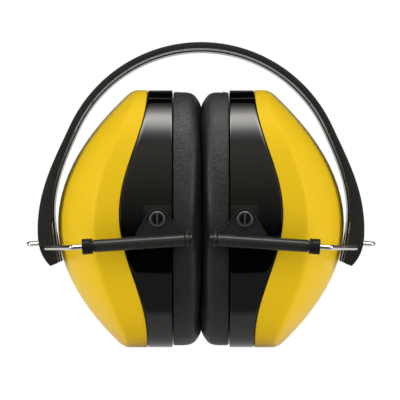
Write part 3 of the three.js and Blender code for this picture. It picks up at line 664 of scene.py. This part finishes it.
def pleat_nodes():
    """Geometry nodes that scatter small pleats along a seam curve, with a fixed seed."""
    name = "Seam Pleats"
    if name in bpy.data.node_groups:
        return bpy.data.node_groups[name]
    tree = bpy.data.node_groups.new(name, "GeometryNodeTree")
    for socket, kind, way in (("Geometry", "NodeSocketGeometry", "INPUT"),
                              ("Count", "NodeSocketInt", "INPUT"),
                              ("Pleat Width", "NodeSocketFloat", "INPUT"),
                              ("Pleat Length", "NodeSocketFloat", "INPUT"),
                              ("Seed", "NodeSocketInt", "INPUT"), ("Material", "NodeSocketMaterial", "INPUT"),
                              ("Geometry", "NodeSocketGeometry", "OUTPUT")):
        tree.interface.new_socket(socket, in_out=way, socket_type=kind)
    t = Tree(tree)
    start = t.add("NodeGroupInput").outputs
    curve = t.add("GeometryNodeMeshToCurve", {"Mesh": start["Geometry"]}).outputs[0]
    spread = t.add("GeometryNodeCurveToPoints", {"Curve": curve, "Count": start["Count"]}, mode="COUNT")
    seed = start["Seed"]
    size = t.add("FunctionNodeRandomValue", {"Min": (0.6, 0.6, 0.5), "Max": (1.2, 1.4, 1.1), "Seed": seed},
                 data_type="FLOAT_VECTOR").outputs[0]
    turn = t.add("FunctionNodeRandomValue", {"Min": (-0.2, -0.35, -0.2), "Max": (0.2, 0.35, 0.2), "Seed": seed},
                 data_type="FLOAT_VECTOR").outputs[0]
    shift = t.add("FunctionNodeRandomValue", {"Min": (-0.0004, -0.00005, -0.00005),
                                              "Max": (0.0006, 0.00005, 0.00005), "Seed": seed},
                  data_type="FLOAT_VECTOR").outputs[0]
    ball = t.add("GeometryNodeMeshIcoSphere", {"Radius": start["Pleat Width"], "Subdivisions": 3}).outputs[0]
    smooth = t.add("GeometryNodeSetShadeSmooth", {"Geometry": ball}).outputs[0]
    moved = t.add("GeometryNodeSetPosition", {"Geometry": spread.outputs[0], "Offset": shift}).outputs[0]
    placed = t.add("GeometryNodeInstanceOnPoints", {"Points": moved, "Instance": smooth, "Rotation": turn,
                                                    "Scale": size}).outputs[0]
    stretch = t.add("ShaderNodeCombineXYZ", {0: start["Pleat Length"], 1: 1.0, 2: 1.0}).outputs[0]
    longer = t.add("GeometryNodeScaleInstances", {"Instances": placed, "Scale": stretch}).outputs[0]
    real = t.add("GeometryNodeRealizeInstances", {"Geometry": longer}).outputs[0]
    made = t.add("GeometryNodeSetMaterial", {"Geometry": real, "Material": start["Material"]}).outputs[0]
    t.add("NodeGroupOutput", {"Geometry": made})
    return tree


def set_inputs(modifier, values):
    """Sets a node modifier's inputs by their socket identifiers."""
    for item in modifier.node_group.interface.items_tree:
        if item.item_type == "SOCKET" and item.in_out == "INPUT" and item.name in values:
            modifier[item.identifier] = values[item.name]


class EARMUFF_OT_cushions(bpy.types.Operator):
    """Build the ear cushions: crowned covers with puckers beside the seam"""
    bl_idname = "earmuff.cushions"
    bl_label = "Ear Cushions"

    def section(self):
        """Half round the cushion's section as (share across, X): rim seam, crowned face, ear seam."""
        return [(0.03, 11.3), (0.006, 11.1), (0.0, 10.7), (0.0, 9.0), (0.0, 7.4), (0.003, 6.0), (0.011, 4.8),
                (0.027, 3.8), (0.052, 2.95), (0.09, 2.2), (0.145, 1.45), (0.21, 0.75), (0.28, 0.3), (0.34, 0.05),
                (0.44, 0.0), (0.54, 0.0), (0.62, 0.05), (0.7, 0.45), (0.77, 1.2), (0.84, 2.4), (0.9, 3.6),
                (0.945, 4.9), (0.975, 6.4), (0.992, 8.0), (1.0, 9.4), (0.99, 10.6), (0.95, 11.3), (0.5, 11.35)]

    def meeting(self, y, side):
        """Where the two cushions meet, off the middle, seen from the cushion on this side."""
        turn = -1.0 if side == "left" else 1.0
        return turn * 0.55 * math.sin(turn * y * 0.35)

    def loops(self, side):
        rim = cushion_rim()
        ear = oval(EAR_WIDTH, EAR_HEIGHT, CUP_FLAT / 2)
        seed = 3.0 if side == "left" else 11.0
        wrinkle = settings().wrinkle / MM
        press = settings().crown / MM / 2.2
        loops = []
        for share, x in self.section():
            loop = []
            for p, q in zip(rim, ear):
                y, z = p[0] + (q[0] - p[0]) * share, p[1] + (q[1] - p[1]) * share
                face = max(0.0, 1 - x / 5.0)
                belly = 0.9 * math.exp(-((z - 1.0) / 13.0)**2) * face * (1.0 if share < 0.3 else 0.0)
                belly += (self.meeting(y, side) + 0.03) * face**2
                near = math.exp(-((x - 8.6) / 1.9)**2)
                ripple = noise.noise(Vector((x * 0.5 + seed, y * 0.42, z * 0.42)))
                small = noise.noise(Vector((x * 0.9, y * 1.1, z * 1.1 + seed)))
                out = wrinkle * (near * (ripple + 0.7 * small) * 1.5 + 0.22 * ripple)
                away = Vector((y, z)).normalized()
                sign = 1.0 if share < 0.5 else -1.0
                loop.append((11.35 - (11.35 - x) * press + belly,
                             y + away.x * out * sign, CUP_MIDDLE + z + away.y * out * sign))
            loops.append(loop)
        return loops

    def pleats(self, side, cushion):
        """Small pleats round the seam, set at the cover's surface as low ridges."""
        rim = cushion_rim()
        points = [side_point(9.2, y * 0.9975, CUP_MIDDLE + z * 0.9985, side) for y, z in rim]
        mesh = bpy.data.meshes.new(f"{side}_pleat_line")
        mesh.from_pydata(points, [(i, (i + 1) % len(points)) for i in range(len(points))], [])
        obj = add_object(f"{side}_pleats", mesh, leatherette())
        modifier = obj.modifiers.new("Pleats", "NODES")
        modifier.node_group = pleat_nodes()
        set_inputs(modifier, {"Count": settings().pleats, "Pleat Width": 0.00015, "Pleat Length": 3.2,
                              "Seed": 5 if side == "left" else 9, "Material": leatherette()})
        return baked(obj)

    def execute(self, context):
        for side in SIDES:
            obj = Body().add(self.loops(side)).make(f"{side}_cushion", side, leatherette(), 60)
            smooth = obj.modifiers.new("Smooth", "SUBSURF")
            smooth.levels = smooth.render_levels = 1
            baked(obj)
            settle(obj, f"{side}_cup", "leatherette", f"{side}_cushion_skin")
            if settings().pleats:
                pleats = self.pleats(side, obj)
                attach(pleats, f"{side}_cup")
        return {"FINISHED"}


class EARMUFF_OT_inner(bpy.types.Operator):
    """Build the acoustic foam with a rough face inside the cups, and give the frame's seat plates and cushion foam
    their materials
    """
    bl_idname = "earmuff.inner"
    bl_label = "Inner Pieces"

    def foam_loops(self, side):
        inset = CUP_WALL + FIT_GAP
        outline = oval(CUP_DEPTH - 2 * inset, CUP_HEIGHT - 2 * inset, CUP_FLAT)
        face = 40.0
        rim = []
        for p in outline:
            x, y, z = edge_point(p, inset)
            if x < face:
                low, high = 0.0, 1.0
                for _ in range(24):
                    s = (low + high) / 2
                    inside = dome_x(y * s, PEAK_Z + (z - PEAK_Z) * s, inset) > face
                    low, high = (s, high) if inside else (low, s)
                y, z = y * low, PEAK_Z + (z - PEAK_Z) * low
                rim.append((face + 0.05, y, z))
            else:
                rim.append((x, y, z))
        seed = 2.0 if side == "left" else 7.0
        loops = []
        for share in (0.05, 0.2, 0.35, 0.5, 0.65, 0.8, 0.92, 0.98):
            loop = []
            for x, y, z in rim:
                v = Vector((seed, y * share * 0.35, z * share * 0.35))
                lift = 0.5 * noise.noise(v) + 0.35 * noise.noise(v * 3.1)
                loop.append((face + 0.5 + lift, y * share, PEAK_Z + (z - PEAK_Z) * share))
            loops.append(loop)
        loops.append([(max(face + 0.6, min(x, face + 0.9)), y, z) for x, y, z in rim])
        loops.append([(x, y * 0.999, z) for x, y, z in rim])
        for share in (0.97, 0.85, 0.7, 0.5, 0.3, 0.05):
            loops.append([(max(face + 1.0, dome_x(y * share, PEAK_Z + (z - PEAK_Z) * share, inset)), y * share,
                           PEAK_Z + (z - PEAK_Z) * share) for x, y, z in rim])
        return loops

    def execute(self, context):
        for side in SIDES:
            obj = Body().add(self.foam_loops(side), "capped").make(
                f"{side}_acoustic_pad", side, foam("acoustic_foam_grey", (0.11, 0.11, 0.115)), 70)
            settle(obj, f"{side}_cup", "acoustic_foam", f"{side}_acoustic_foam")
            for node, material in ((f"{side}_seat_plate", plate_black()),
                                   (f"{side}_cushion_foam", foam("cushion_foam_cream", (0.42, 0.38, 0.3)))):
                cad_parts[node].data.materials.clear()
                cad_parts[node].data.materials.append(material)
        return {"FINISHED"}


def hinge_place(v):
    """From the hinge's own frame to the right half's frame."""
    c, s = math.cos(LIMB_SLOPE), math.sin(LIMB_SLOPE)
    x, y, z = v
    return (HINGE_X + x * c + z * s, y, HINGE_Z - x * s + z * c)


def bent_path(corners, radius, steps=8):
    points = [Vector(corners[0])]
    for a, b, c in zip(corners, corners[1:], corners[2:]):
        into, out = (Vector(b) - Vector(a)).normalized(), (Vector(c) - Vector(b)).normalized()
        turn = into.angle(out)
        start = Vector(b) - into * radius * math.tan(turn / 2)
        across = (out - into * into.dot(out)).normalized()
        for s in range(steps + 1):
            angle = turn * s / steps
            points.append(start + into * radius * math.sin(angle) + across * radius * (1 - math.cos(angle)))
    return points + [Vector(corners[-1])]


def swept(points, radius, sides=20, ends=0.25):
    """Loops of a round section carried along a path, with softened ends."""
    loops = []
    normal = Vector((0, 0, 1))
    for i, p in enumerate(points):
        ahead = (points[min(i + 1, len(points) - 1)] - p)
        behind = (p - points[max(i - 1, 0)])
        tangent = (ahead.normalized() + behind.normalized()).normalized()
        normal = (normal - tangent * normal.dot(tangent)).normalized()
        other = tangent.cross(normal)
        rings = [(0.0, 1.0)]
        if i == 0:
            rings = [(0.0, 0.55), (ends * 0.4, 0.88), (ends, 1.0)]
        if i == len(points) - 1:
            rings = [(-ends, 1.0), (-ends * 0.4, 0.88), (0.0, 0.55)]
        for shift, scale in rings:
            loop = []
            for k in range(sides):
                a = 2 * math.pi * k / sides
                q = p + tangent * shift + (normal * math.cos(a) + other * math.sin(a)) * radius * scale
                loop.append(tuple(q))
            loops.append(loop)
    return loops


class EARMUFF_OT_wires(bpy.types.Operator):
    """Build the bent steel stirrup wires"""
    bl_idname = "earmuff.wires"
    bl_label = "Stirrup Wires"

    def execute(self, context):
        c, s = math.cos(LIMB_SLOPE), math.sin(LIMB_SLOPE)
        jog = (-2.6 * c - 1.8 * s, -2.6 * s + 1.8 * c)
        crank = (8.3 * c - 1.4 * s, 8.3 * s + 1.4 * c)
        half = [(-57.5, -LIMB_Y, 0), (-11.5, -LIMB_Y, 0), (0, -19, 0), (0, -11.1, 0),
                (jog[0], -8.0, jog[1]), (crank[0], -5.5, crank[1])]
        corners = half + [(x, -y, z) for x, y, z in reversed(half)]
        for side in SIDES:
            body = Body(hinge_place).add(swept(bent_path(corners, 2.2), 1.0), "capped")
            obj = body.make(f"{side}_wire", side, steel(), 50)
            settle(obj, f"{side}_stirrup", "wire", f"{side}_stirrup_wire")
        return {"FINISHED"}


class EARMUFF_OT_arms(bpy.types.Operator):
    """Build the sliding arms with their lugs, rubber caps, split rings and pivot studs"""
    bl_idname = "earmuff.arms"
    bl_label = "Sliding Arms"

    def lug_outline(self, inset):
        pin = Vector((-PIN_ALONG, PIN_BESIDE))
        foot = 1.6 + inset
        r = 4.3 - inset
        found = []
        for base in (-35.6 - inset, -56.0 + inset):
            away = Vector((base, foot)) - pin
            lean = math.acos(r / away.length) * (1 if base > pin.x else -1)
            found.append((Vector((base, foot)), math.atan2(away.y, away.x) + lean))
        (near, a0), (far, a1) = found
        sweep = (a1 - a0) % (2 * math.pi)
        points = [near]
        for i in range(25):
            a = a0 + sweep * i / 24
            points.append(pin + Vector((r * math.cos(a), r * math.sin(a))))
        return points + [far]

    def lug(self, facing):
        outer = LUG_INNER_Y + LUG_THICKNESS
        loops = []
        for y, inset in ((LUG_INNER_Y, 0.15), (LUG_INNER_Y + 0.15, 0.0), (outer - 0.15, 0.0),
                         (outer - 0.04, 0.05), (outer, 0.16), (outer, 0.5), (outer - 0.06, 0.6),
                         (outer - 0.4, 0.75), (outer - 0.42, 1.2)):
            loops.append([(p.x, facing * y, p.y) for p in self.lug_outline(inset)])
        return loops

    def tube(self, facing):
        profile = [(0.01, 59.3), (1.85, 59.3), (2.3, 59.05), (2.35, 58.5), (2.3, 58.3), (2.0, 58.2), (2.0, 56.3),
                   (2.3, 56.2), (2.5, 56.0), (2.5, 20.5), (2.4, 20.25), (2.05, 20.2), (2.05, 16.9),
                   (1.35, 16.9), (1.35, 58.2), (0.01, 58.2)]
        return turned([(r, -d) for r, d in profile], (0, facing * LIMB_Y, 0), "X", 32)

    def cap(self, facing):
        profile = rounded([(1.3, 15.7), (3.1, 15.7), (3.1, 18.75), (2.85, 18.95), (2.85, 19.05), (3.1, 19.25),
                           (3.1, 19.9), (2.35, 19.9), (2.35, 16.6), (1.3, 16.6)], 0.28, closed=True)
        return turned([(r, -d) for r, d in profile], (0, facing * LIMB_Y, 0), "X", 32)

    def ring(self, facing):
        profile = rounded([(2.3, 56.5), (2.8, 56.5), (2.8, 57.7), (2.3, 57.7)], 0.2, closed=True)
        return turned([(r, -d) for r, d in profile], (0, facing * LIMB_Y, 0), "X", 32)

    def knob(self, facing):
        profile = [(0.05, 2.4), (0.6, 2.4), (0.5, 2.9), (0.5, 3.3), (0.68, 3.5), (0.7, 3.75), (0.5, 3.97),
                   (0.05, 4.0)]
        return turned(profile, (-57.1, facing * LIMB_Y, 0), "Z", 20)

    def stud(self, facing):
        """Head with two D-shaped recesses, shank and flared tail."""
        under = LUG_INNER_Y + LUG_THICKNESS + FIT_GAP
        top = under + 1.3
        tail = CUP_DEPTH / 2 - INNER_WALL - FIT_GAP
        profile = [(0.01, tail - 1), (1.7, tail - 1), (2.7, tail), (1.7, tail + 0.01), (1.7, under), (2.95, under),
                   (3.15, under + 0.15), (3.2, under + 0.45), (3.15, top - 0.3), (2.95, top - 0.08), (2.7, top),
                   (2.45, top - 0.05), (2.35, top - 0.2), (2.3, top - 0.75), (2.1, top - 0.75)]
        head = turned([(r, facing * d) for r, d in profile], (PIN_X, 0, PIN_Z), "Y", 40)
        bar = []
        for depth, shrink in ((top - 0.9, 0.0), (top - 0.2, 0.0), (top - 0.06, 0.06), (top - 0.02, 0.16)):
            y = facing * depth
            w, h = 0.35 - shrink, 2.4 - shrink
            bar.append([(PIN_X - w, y, PIN_Z - h), (PIN_X + w, y, PIN_Z - h), (PIN_X + w, y, PIN_Z + h),
                        (PIN_X - w, y, PIN_Z + h)])
        return head, bar

    def paint_recess_shade(self, mesh, side):
        """The recesses' floor gets the housing's near-black gloss material as painted shade; the bar and the rim
        stay satin.
        """
        mesh.materials.append(gloss_black())
        pin = side_point(PIN_X, 0, PIN_Z, side)
        floor = (LUG_INNER_Y + LUG_THICKNESS + FIT_GAP + 1.3 - 0.6) * MM
        for face in mesh.polygons:
            across = Vector((face.center.x - pin.x, face.center.z - pin.z)).length
            if across < 0.0022 and abs(face.center.y) < floor and len(face.vertices) > 4:
                face.material_index = 1

    def execute(self, context):
        for side in SIDES:
            for facing in (-1, 1):
                place = "front" if (facing < 0) == (side == "right") else "rear"
                rides = f"{side}_arms"
                arm = Body(hinge_place).add(self.tube(facing), "capped").add(self.lug(facing), "capped")
                settle(arm.make(f"{side}_{place}_sliding_arm", side, arm_black()), rides, "arm_black",
                       f"{side}_{place}_arm")
                cap = Body(hinge_place).add(self.cap(facing))
                settle(cap.make(f"{side}_{place}_rubber_cap", side, cap_rubber(), 50), rides, "cap_rubber",
                       f"{side}_{place}_friction_cap")
                ring = Body(hinge_place).add(self.ring(facing)).add(self.knob(facing), "capped")
                settle(ring.make(f"{side}_{place}_split_ring", side, arm_black(), 40), rides, "arm_black",
                       f"{side}_{place}_end_ring")
                head, bar = self.stud(facing)
                stud = Body().add(head, "capped").add(bar, "capped")
                obj = stud.make(f"{side}_{place}_stud", side, stud_black(), 40)
                # The recess floors are painted near-black: painted shade.
                self.paint_recess_shade(obj.data, side)
                settle(obj, f"{side}_cup", "housing_black", f"{side}_{place}_pivot_stud")
        return {"FINISHED"}


def band_half(rib):
    """Half of the band's outline: crown to tip outside, then back inside."""
    centre = BAND_TOP - BAND_RADIUS
    stop = math.radians(25)
    inner = BAND_RADIUS - 2.5 - rib
    fall = Vector((math.sin(stop), -math.cos(stop)))
    shoulder = Vector((BAND_RADIUS * math.cos(stop), centre + BAND_RADIUS * math.sin(stop)))
    inner_shoulder = Vector((inner * math.cos(stop), centre + inner * math.sin(stop)))
    wide = Vector((HINGE_X + 3.9, HINGE_Z + 7.4))
    tip = Vector((HINGE_X - 1.3, HINGE_Z - 7.4))
    inner_tip = Vector((tip.x - 0.91 * 3.6, tip.y + 0.41 * 3.6))
    inner_wide = Vector((HINGE_X - 1.5 - rib, HINGE_Z + 14.8))
    reach = 0.36 * (shoulder - wide).length
    inner_reach = 0.33 * (inner_shoulder - inner_wide).length
    arc = lambda r, i, n: (r * math.cos(math.pi / 2 + (stop - math.pi / 2) * i / n),
                           centre + r * math.sin(math.pi / 2 + (stop - math.pi / 2) * i / n))
    points = [arc(BAND_RADIUS, i, 40) for i in range(41)]
    points += cubic(shoulder, shoulder + fall * reach, (wide.x, wide.y + reach), wide, 24)[1:]
    points += cubic(wide, (wide.x, HINGE_Z + 2.22), (wide.x - 0.6, HINGE_Z - 2.96), tip, 14)[1:]
    points += [tuple(inner_tip)]
    points += cubic(inner_tip, (inner_tip.x + 1.4, HINGE_Z + 0.74), (inner_wide.x, HINGE_Z + 8.14),
                    inner_wide, 14)[1:]
    points += cubic(inner_wide, (inner_wide.x, inner_wide.y + inner_reach), inner_shoulder + fall * inner_reach,
                    inner_shoulder, 24)[1:]
    return points + [arc(inner, i, 40) for i in range(39, -1, -1)]


def band_nodes():
    """Geometry nodes that fill a closed outline and give it a width, centred on its plane."""
    name = "Band From Outline"
    if name in bpy.data.node_groups:
        return bpy.data.node_groups[name]
    tree = bpy.data.node_groups.new(name, "GeometryNodeTree")
    for socket, kind, way in (("Geometry", "NodeSocketGeometry", "INPUT"),
                              ("Width", "NodeSocketFloat", "INPUT"),
                              ("Material", "NodeSocketMaterial", "INPUT"),
                              ("Geometry", "NodeSocketGeometry", "OUTPUT")):
        tree.interface.new_socket(socket, in_out=way, socket_type=kind)
    t = Tree(tree)
    start = t.add("NodeGroupInput").outputs
    curve = t.add("GeometryNodeMeshToCurve", {"Mesh": start["Geometry"]}).outputs[0]
    filled = t.add("GeometryNodeFillCurve", {"Curve": curve}, mode="TRIANGLES").outputs[0]
    up = t.add("ShaderNodeCombineXYZ", {2: start["Width"]}).outputs[0]
    raised = t.add("GeometryNodeExtrudeMesh", {"Mesh": filled, "Offset": up, "Individual": False}, mode="FACES")
    under = t.add("GeometryNodeFlipFaces", {"Mesh": filled}).outputs[0]
    both = t.add("GeometryNodeJoinGeometry")
    tree.links.new(raised.outputs[0], both.inputs[0])
    tree.links.new(under, both.inputs[0])
    merged = t.add("GeometryNodeMergeByDistance", {"Geometry": both.outputs[0], "Distance": 1e-6}).outputs[0]
    down = t.add("ShaderNodeCombineXYZ", {2: t.math("MULTIPLY", start["Width"], -0.5)}).outputs[0]
    middle = t.add("GeometryNodeTransform", {"Geometry": merged, "Translation": down}).outputs[0]
    real = t.add("GeometryNodeRealizeInstances", {"Geometry": middle}).outputs[0]
    made = t.add("GeometryNodeSetMaterial", {"Geometry": real, "Material": start["Material"]}).outputs[0]
    t.add("NodeGroupOutput", {"Geometry": made})
    return tree


class EARMUFF_OT_headband(bpy.types.Operator):
    """Build the headband: arched outline given its width, forked ends, crank windows and soft edges"""
    bl_idname = "earmuff.headband"
    bl_label = "Headband"

    def slab(self, name, points, width):
        """A flat outline in X and Z made into a slab across Y by geometry nodes."""
        mesh = bpy.data.meshes.new(name)
        mesh.from_pydata([(x * MM, z * MM, 0.0) for x, z in points],
                         [(i, (i + 1) % len(points)) for i in range(len(points))], [])
        obj = add_object(name, mesh, satin_black())
        modifier = obj.modifiers.new("Band", "NODES")
        modifier.node_group = band_nodes()
        set_inputs(modifier, {"Width": width * MM, "Material": satin_black()})
        baked(obj)
        obj.data.transform(Matrix.Rotation(math.pi / 2, 4, "X"))
        return obj

    def cutters(self):
        web = HINGE_X + 3.9 - 2.2
        outline = [(HINGE_X - 12, HINGE_Z + 5.8), (web, HINGE_Z + 5.8), (web, HINGE_Z - 1),
                   (HINGE_X - 4.4, HINGE_Z - 9.4), (HINGE_X - 12, HINGE_Z - 9.4)]
        window = [(HINGE_X - 8, HINGE_Z - 1.5), (HINGE_X + 8, HINGE_Z - 1.5),
                  (HINGE_X + 8, HINGE_Z + 10.2), (HINGE_X - 8, HINGE_Z + 10.2)]
        found = []
        for sign in (-1, 1):
            for i, (points, width) in enumerate(((outline, BAND_WIDTH - 6), (window, 17.2))):
                found.append(self.slab(f"cutter_{sign}_{i}", [(sign * x, z) for x, z in points], width))
        return found

    def execute(self, context):
        half = band_half(0.0)
        band = self.slab("band", half + [(-x, z) for x, z in reversed(half[1:-1])], BAND_WIDTH)
        half = band_half(0.45)
        rib = self.slab("band_rib", half + [(-x, z) for x, z in reversed(half[1:-1])], 4.0)
        helpers = self.cutters() + [rib]
        for other in helpers:
            cut = band.modifiers.new(other.name, "BOOLEAN")
            cut.operation = "UNION" if other == rib else "DIFFERENCE"
            cut.object = other
            cut.solver = "EXACT"
        soft = band.modifiers.new("Soft Edges", "BEVEL")
        soft.width, soft.segments = 0.00055, 3
        soft.limit_method, soft.angle_limit = "ANGLE", math.radians(35)
        soft.harden_normals = False
        baked(band)
        for other in helpers:
            bpy.data.objects.remove(other)
        finish_mesh(band.data, 40)
        settle(band, "headband", "band_black", "headband")
        return {"FINISHED"}


# ---------------------------------------------------------------- stage

class EARMUFF_OT_stage(bpy.types.Operator):
    """Set up the pale floor, the white backdrop, the soft lights and the camera"""
    bl_idname = "earmuff.stage"
    bl_label = "Stage"

    def floor_material(self):
        """Pale floor: plain white to the camera, dimmer in reflections the farther it is."""
        material, t, shader = new_material("floor_white")
        shader.inputs["Roughness"].default_value = 0.6
        where = t.add("ShaderNodeTexCoord").outputs["Object"]
        slow = t.add("ShaderNodeTexNoise", {"Vector": where, "Scale": 6.0, "Detail": 2.0}).outputs["Fac"]
        pale = mix_rgba(t, slow, (0.8, 0.8, 0.79), (0.84, 0.84, 0.83))
        t.tree.links.new(pale, shader.inputs["Base Color"])
        ahead = t.add("ShaderNodeSeparateXYZ", {0: where}).outputs[1]
        near = t.add("ShaderNodeMapRange", {0: ahead, 1: -0.043, 2: -0.038, 3: 0.22, 4: 0.75}).outputs[0]
        mirrored = t.add("ShaderNodeEmission", {"Strength": near}).outputs[0]
        white = t.add("ShaderNodeEmission", {"Strength": 1.0}).outputs[0]
        paths = t.add("ShaderNodeLightPath").outputs
        seen = t.add("ShaderNodeMixShader", {0: paths["Is Glossy Ray"], 1: shader.outputs[0],
                                             2: mirrored}).outputs[0]
        both = t.add("ShaderNodeMixShader", {0: paths["Is Camera Ray"], 1: seen, 2: white}).outputs[0]
        t.tree.links.new(both, material.node_tree.nodes["Material Output"].inputs[0])
        return material

    def panel_material(self):
        """Overhead softbox as reflections see it: brightest along its middle."""
        material, t, _ = new_material("softbox_glow")
        where = t.add("ShaderNodeTexCoord").outputs["Object"]
        parts = t.add("ShaderNodeSeparateXYZ", {0: where}).outputs
        rise = t.math("ARCTAN2", t.math("SUBTRACT", parts[2], 0.05), t.math("MULTIPLY", parts[1], -1.0))
        off = t.math("DIVIDE", t.math("SUBTRACT", rise, math.radians(66)), math.radians(12.5))
        fall = t.math("EXPONENT", t.math("MULTIPLY", t.math("MULTIPLY", off, off), -1.0))
        slow = t.add("ShaderNodeTexNoise", {"Vector": where, "Scale": 2.2, "Detail": 1.0}).outputs["Fac"]
        strength = t.math("MULTIPLY", t.math("ADD", t.math("MULTIPLY", fall, 11.0), 0.4),
                          t.math("ADD", slow, 0.5))
        glow = t.add("ShaderNodeEmission", {"Color": (1.0, 0.97, 0.94, 1.0), "Strength": strength}).outputs[0]
        t.tree.links.new(glow, material.node_tree.nodes["Material Output"].inputs[0])
        return material

    def softbox(self):
        """Curved panel over the object, there for reflections only."""
        rows = []
        for i in range(13):
            a = math.radians(40 + 54 * i / 12)
            rows.append((-1.2 * math.cos(a), 0.05 + 1.2 * math.sin(a)))
        mesh = bpy.data.meshes.new("softbox")
        mesh.from_pydata([(x, y, z) for y, z in rows for x in (-0.8, 0.8)], [],
                         [(2 * i, 2 * i + 1, 2 * i + 3, 2 * i + 2) for i in range(len(rows) - 1)])
        obj = add_object("softbox", mesh, self.panel_material())
        obj.visible_diffuse = obj.visible_camera = obj.visible_shadow = False

    def sheet(self, name, corners, material):
        mesh = bpy.data.meshes.new(name)
        mesh.from_pydata(corners, [], [(0, 1, 2, 3)])
        obj = add_object(name, mesh, material)
        return obj

    def light(self, name, place, target, size, power, colour=(1, 1, 1)):
        data = bpy.data.lights.new(name, "AREA")
        data.shape = "RECTANGLE"
        data.size, data.size_y = size
        data.energy = power
        data.color = colour
        obj = bpy.data.objects.new(name, data)
        bpy.context.scene.collection.objects.link(obj)
        obj.location = place
        obj.rotation_euler = (Vector(target) - Vector(place)).to_track_quat("-Z", "Y").to_euler()
        return obj

    def world(self):
        """White to the camera, an even fill for matt surfaces, a dim room in reflections."""
        world = bpy.data.worlds.new("Studio")
        bpy.context.scene.world = world
        world.use_nodes = True
        t = Tree(world.node_tree)
        paths = t.add("ShaderNodeLightPath").outputs
        way = t.add("ShaderNodeTexCoord").outputs["Generated"]
        parts = t.add("ShaderNodeSeparateXYZ", {0: way}).outputs
        rise = t.add("ShaderNodeMapRange", {0: parts[2], 1: -0.12, 2: 0.62, 3: 0.0, 4: 1.0}).outputs[0]
        front = t.add("ShaderNodeMapRange", {0: parts[1], 1: 0.0, 2: -0.25, 3: 0.0, 4: 1.0}).outputs[0]
        room = mix_rgba(t, t.math("MULTIPLY", rise, front), (0.0, 0.0, 0.0), (0.8, 0.74, 0.63))
        fill = mix_rgba(t, paths["Is Glossy Ray"], (0.55, 0.55, 0.55), room)
        back = world.node_tree.nodes["Background"]
        t.tree.links.new(mix_rgba(t, paths["Is Camera Ray"], fill, (1.0, 1.0, 1.0)), back.inputs[0])
        back.inputs[1].default_value = 1.0

    def execute(self, context):
        scene = context.scene
        scene.view_settings.view_transform = "Standard"
        floor = self.sheet("floor", [(-0.6, -0.1, -0.0002), (0.6, -0.1, -0.0002), (0.6, 1.0, -0.0002),
                                     (-0.6, 1.0, -0.0002)], self.floor_material())
        floor.visible_camera = floor.visible_shadow = False
        glow, t, _ = new_material("backdrop_white")
        emit = t.add("ShaderNodeEmission", {"Color": (1, 1, 1, 1), "Strength": 1.0}).outputs[0]
        t.tree.links.new(emit, glow.node_tree.nodes["Material Output"].inputs[0])
        back = self.sheet("backdrop", [(-0.7, 1.0, -0.05), (0.7, 1.0, -0.05), (0.7, 1.0, 0.5),
                                       (-0.7, 1.0, 0.5)], glow)
        back.visible_camera = back.visible_diffuse = back.visible_shadow = False
        self.softbox()
        key = self.light("key_softbox", (0.0, -0.45, 1.05), (0.0, 0.0, 0.05), (1.1, 0.95), 6.5)
        key.visible_glossy = False
        for name, side in (("left_strip", -1), ("right_strip", 1)):
            self.light(name, (side * 0.9, -0.26, 0.2), (0.0, 0.0, 0.05), (0.22, 0.7), 4.5)
            self.light(name + "_front", (side * 0.75, -0.75, 0.3), (0.0, 0.0, 0.05), (0.12, 0.6), 0.8)
        self.world()
        camera = bpy.data.cameras.new("Camera")
        camera.sensor_width = 36.0
        camera.lens = 196.3
        camera.clip_start = 0.01
        obj = bpy.data.objects.new("Camera", camera)
        scene.collection.objects.link(obj)
        obj.location = (-0.00041, -0.9, 0.06)
        obj.rotation_euler = (math.pi / 2, 0.0, 0.0)
        scene.camera = obj
        return {"FINISHED"}


# ---------------------------------------------------------------- panel

OPERATORS = (EARMUFF_OT_shells, EARMUFF_OT_housings, EARMUFF_OT_cushions, EARMUFF_OT_inner,
             EARMUFF_OT_wires, EARMUFF_OT_arms, EARMUFF_OT_headband, EARMUFF_OT_stage)


class EARMUFF_PT_panel(bpy.types.Panel):
    """Settings and build steps of the earmuff"""
    bl_idname = "EARMUFF_PT_panel"
    bl_label = "Earmuff"
    bl_space_type = "VIEW_3D"
    bl_region_type = "UI"
    bl_category = "Earmuff"

    def draw(self, context):
        for name in ("shell_colour", "black_colour", "leather_colour", "crown", "wrinkle", "pleats", "wear"):
            self.layout.prop(context.scene.earmuff, name)
        for operator in OPERATORS:
            self.layout.operator(operator.bl_idname)


def register():
    bpy.utils.register_class(EarmuffSettings)
    for cls in OPERATORS + (EARMUFF_PT_panel,):
        bpy.utils.register_class(cls)
    bpy.types.Scene.earmuff = bpy.props.PointerProperty(type=EarmuffSettings)


def unregister():
    del bpy.types.Scene.earmuff
    for cls in reversed((EarmuffSettings,) + OPERATORS + (EARMUFF_PT_panel,)):
        bpy.utils.unregister_class(cls)


def main():
    register()
    bpy.ops.earmuff.shells()
    bpy.ops.earmuff.housings()
    bpy.ops.earmuff.cushions()
    bpy.ops.earmuff.inner()
    bpy.ops.earmuff.wires()
    bpy.ops.earmuff.arms()
    bpy.ops.earmuff.headband()
    bpy.ops.earmuff.stage()


if __name__ == "__main__":
    main()
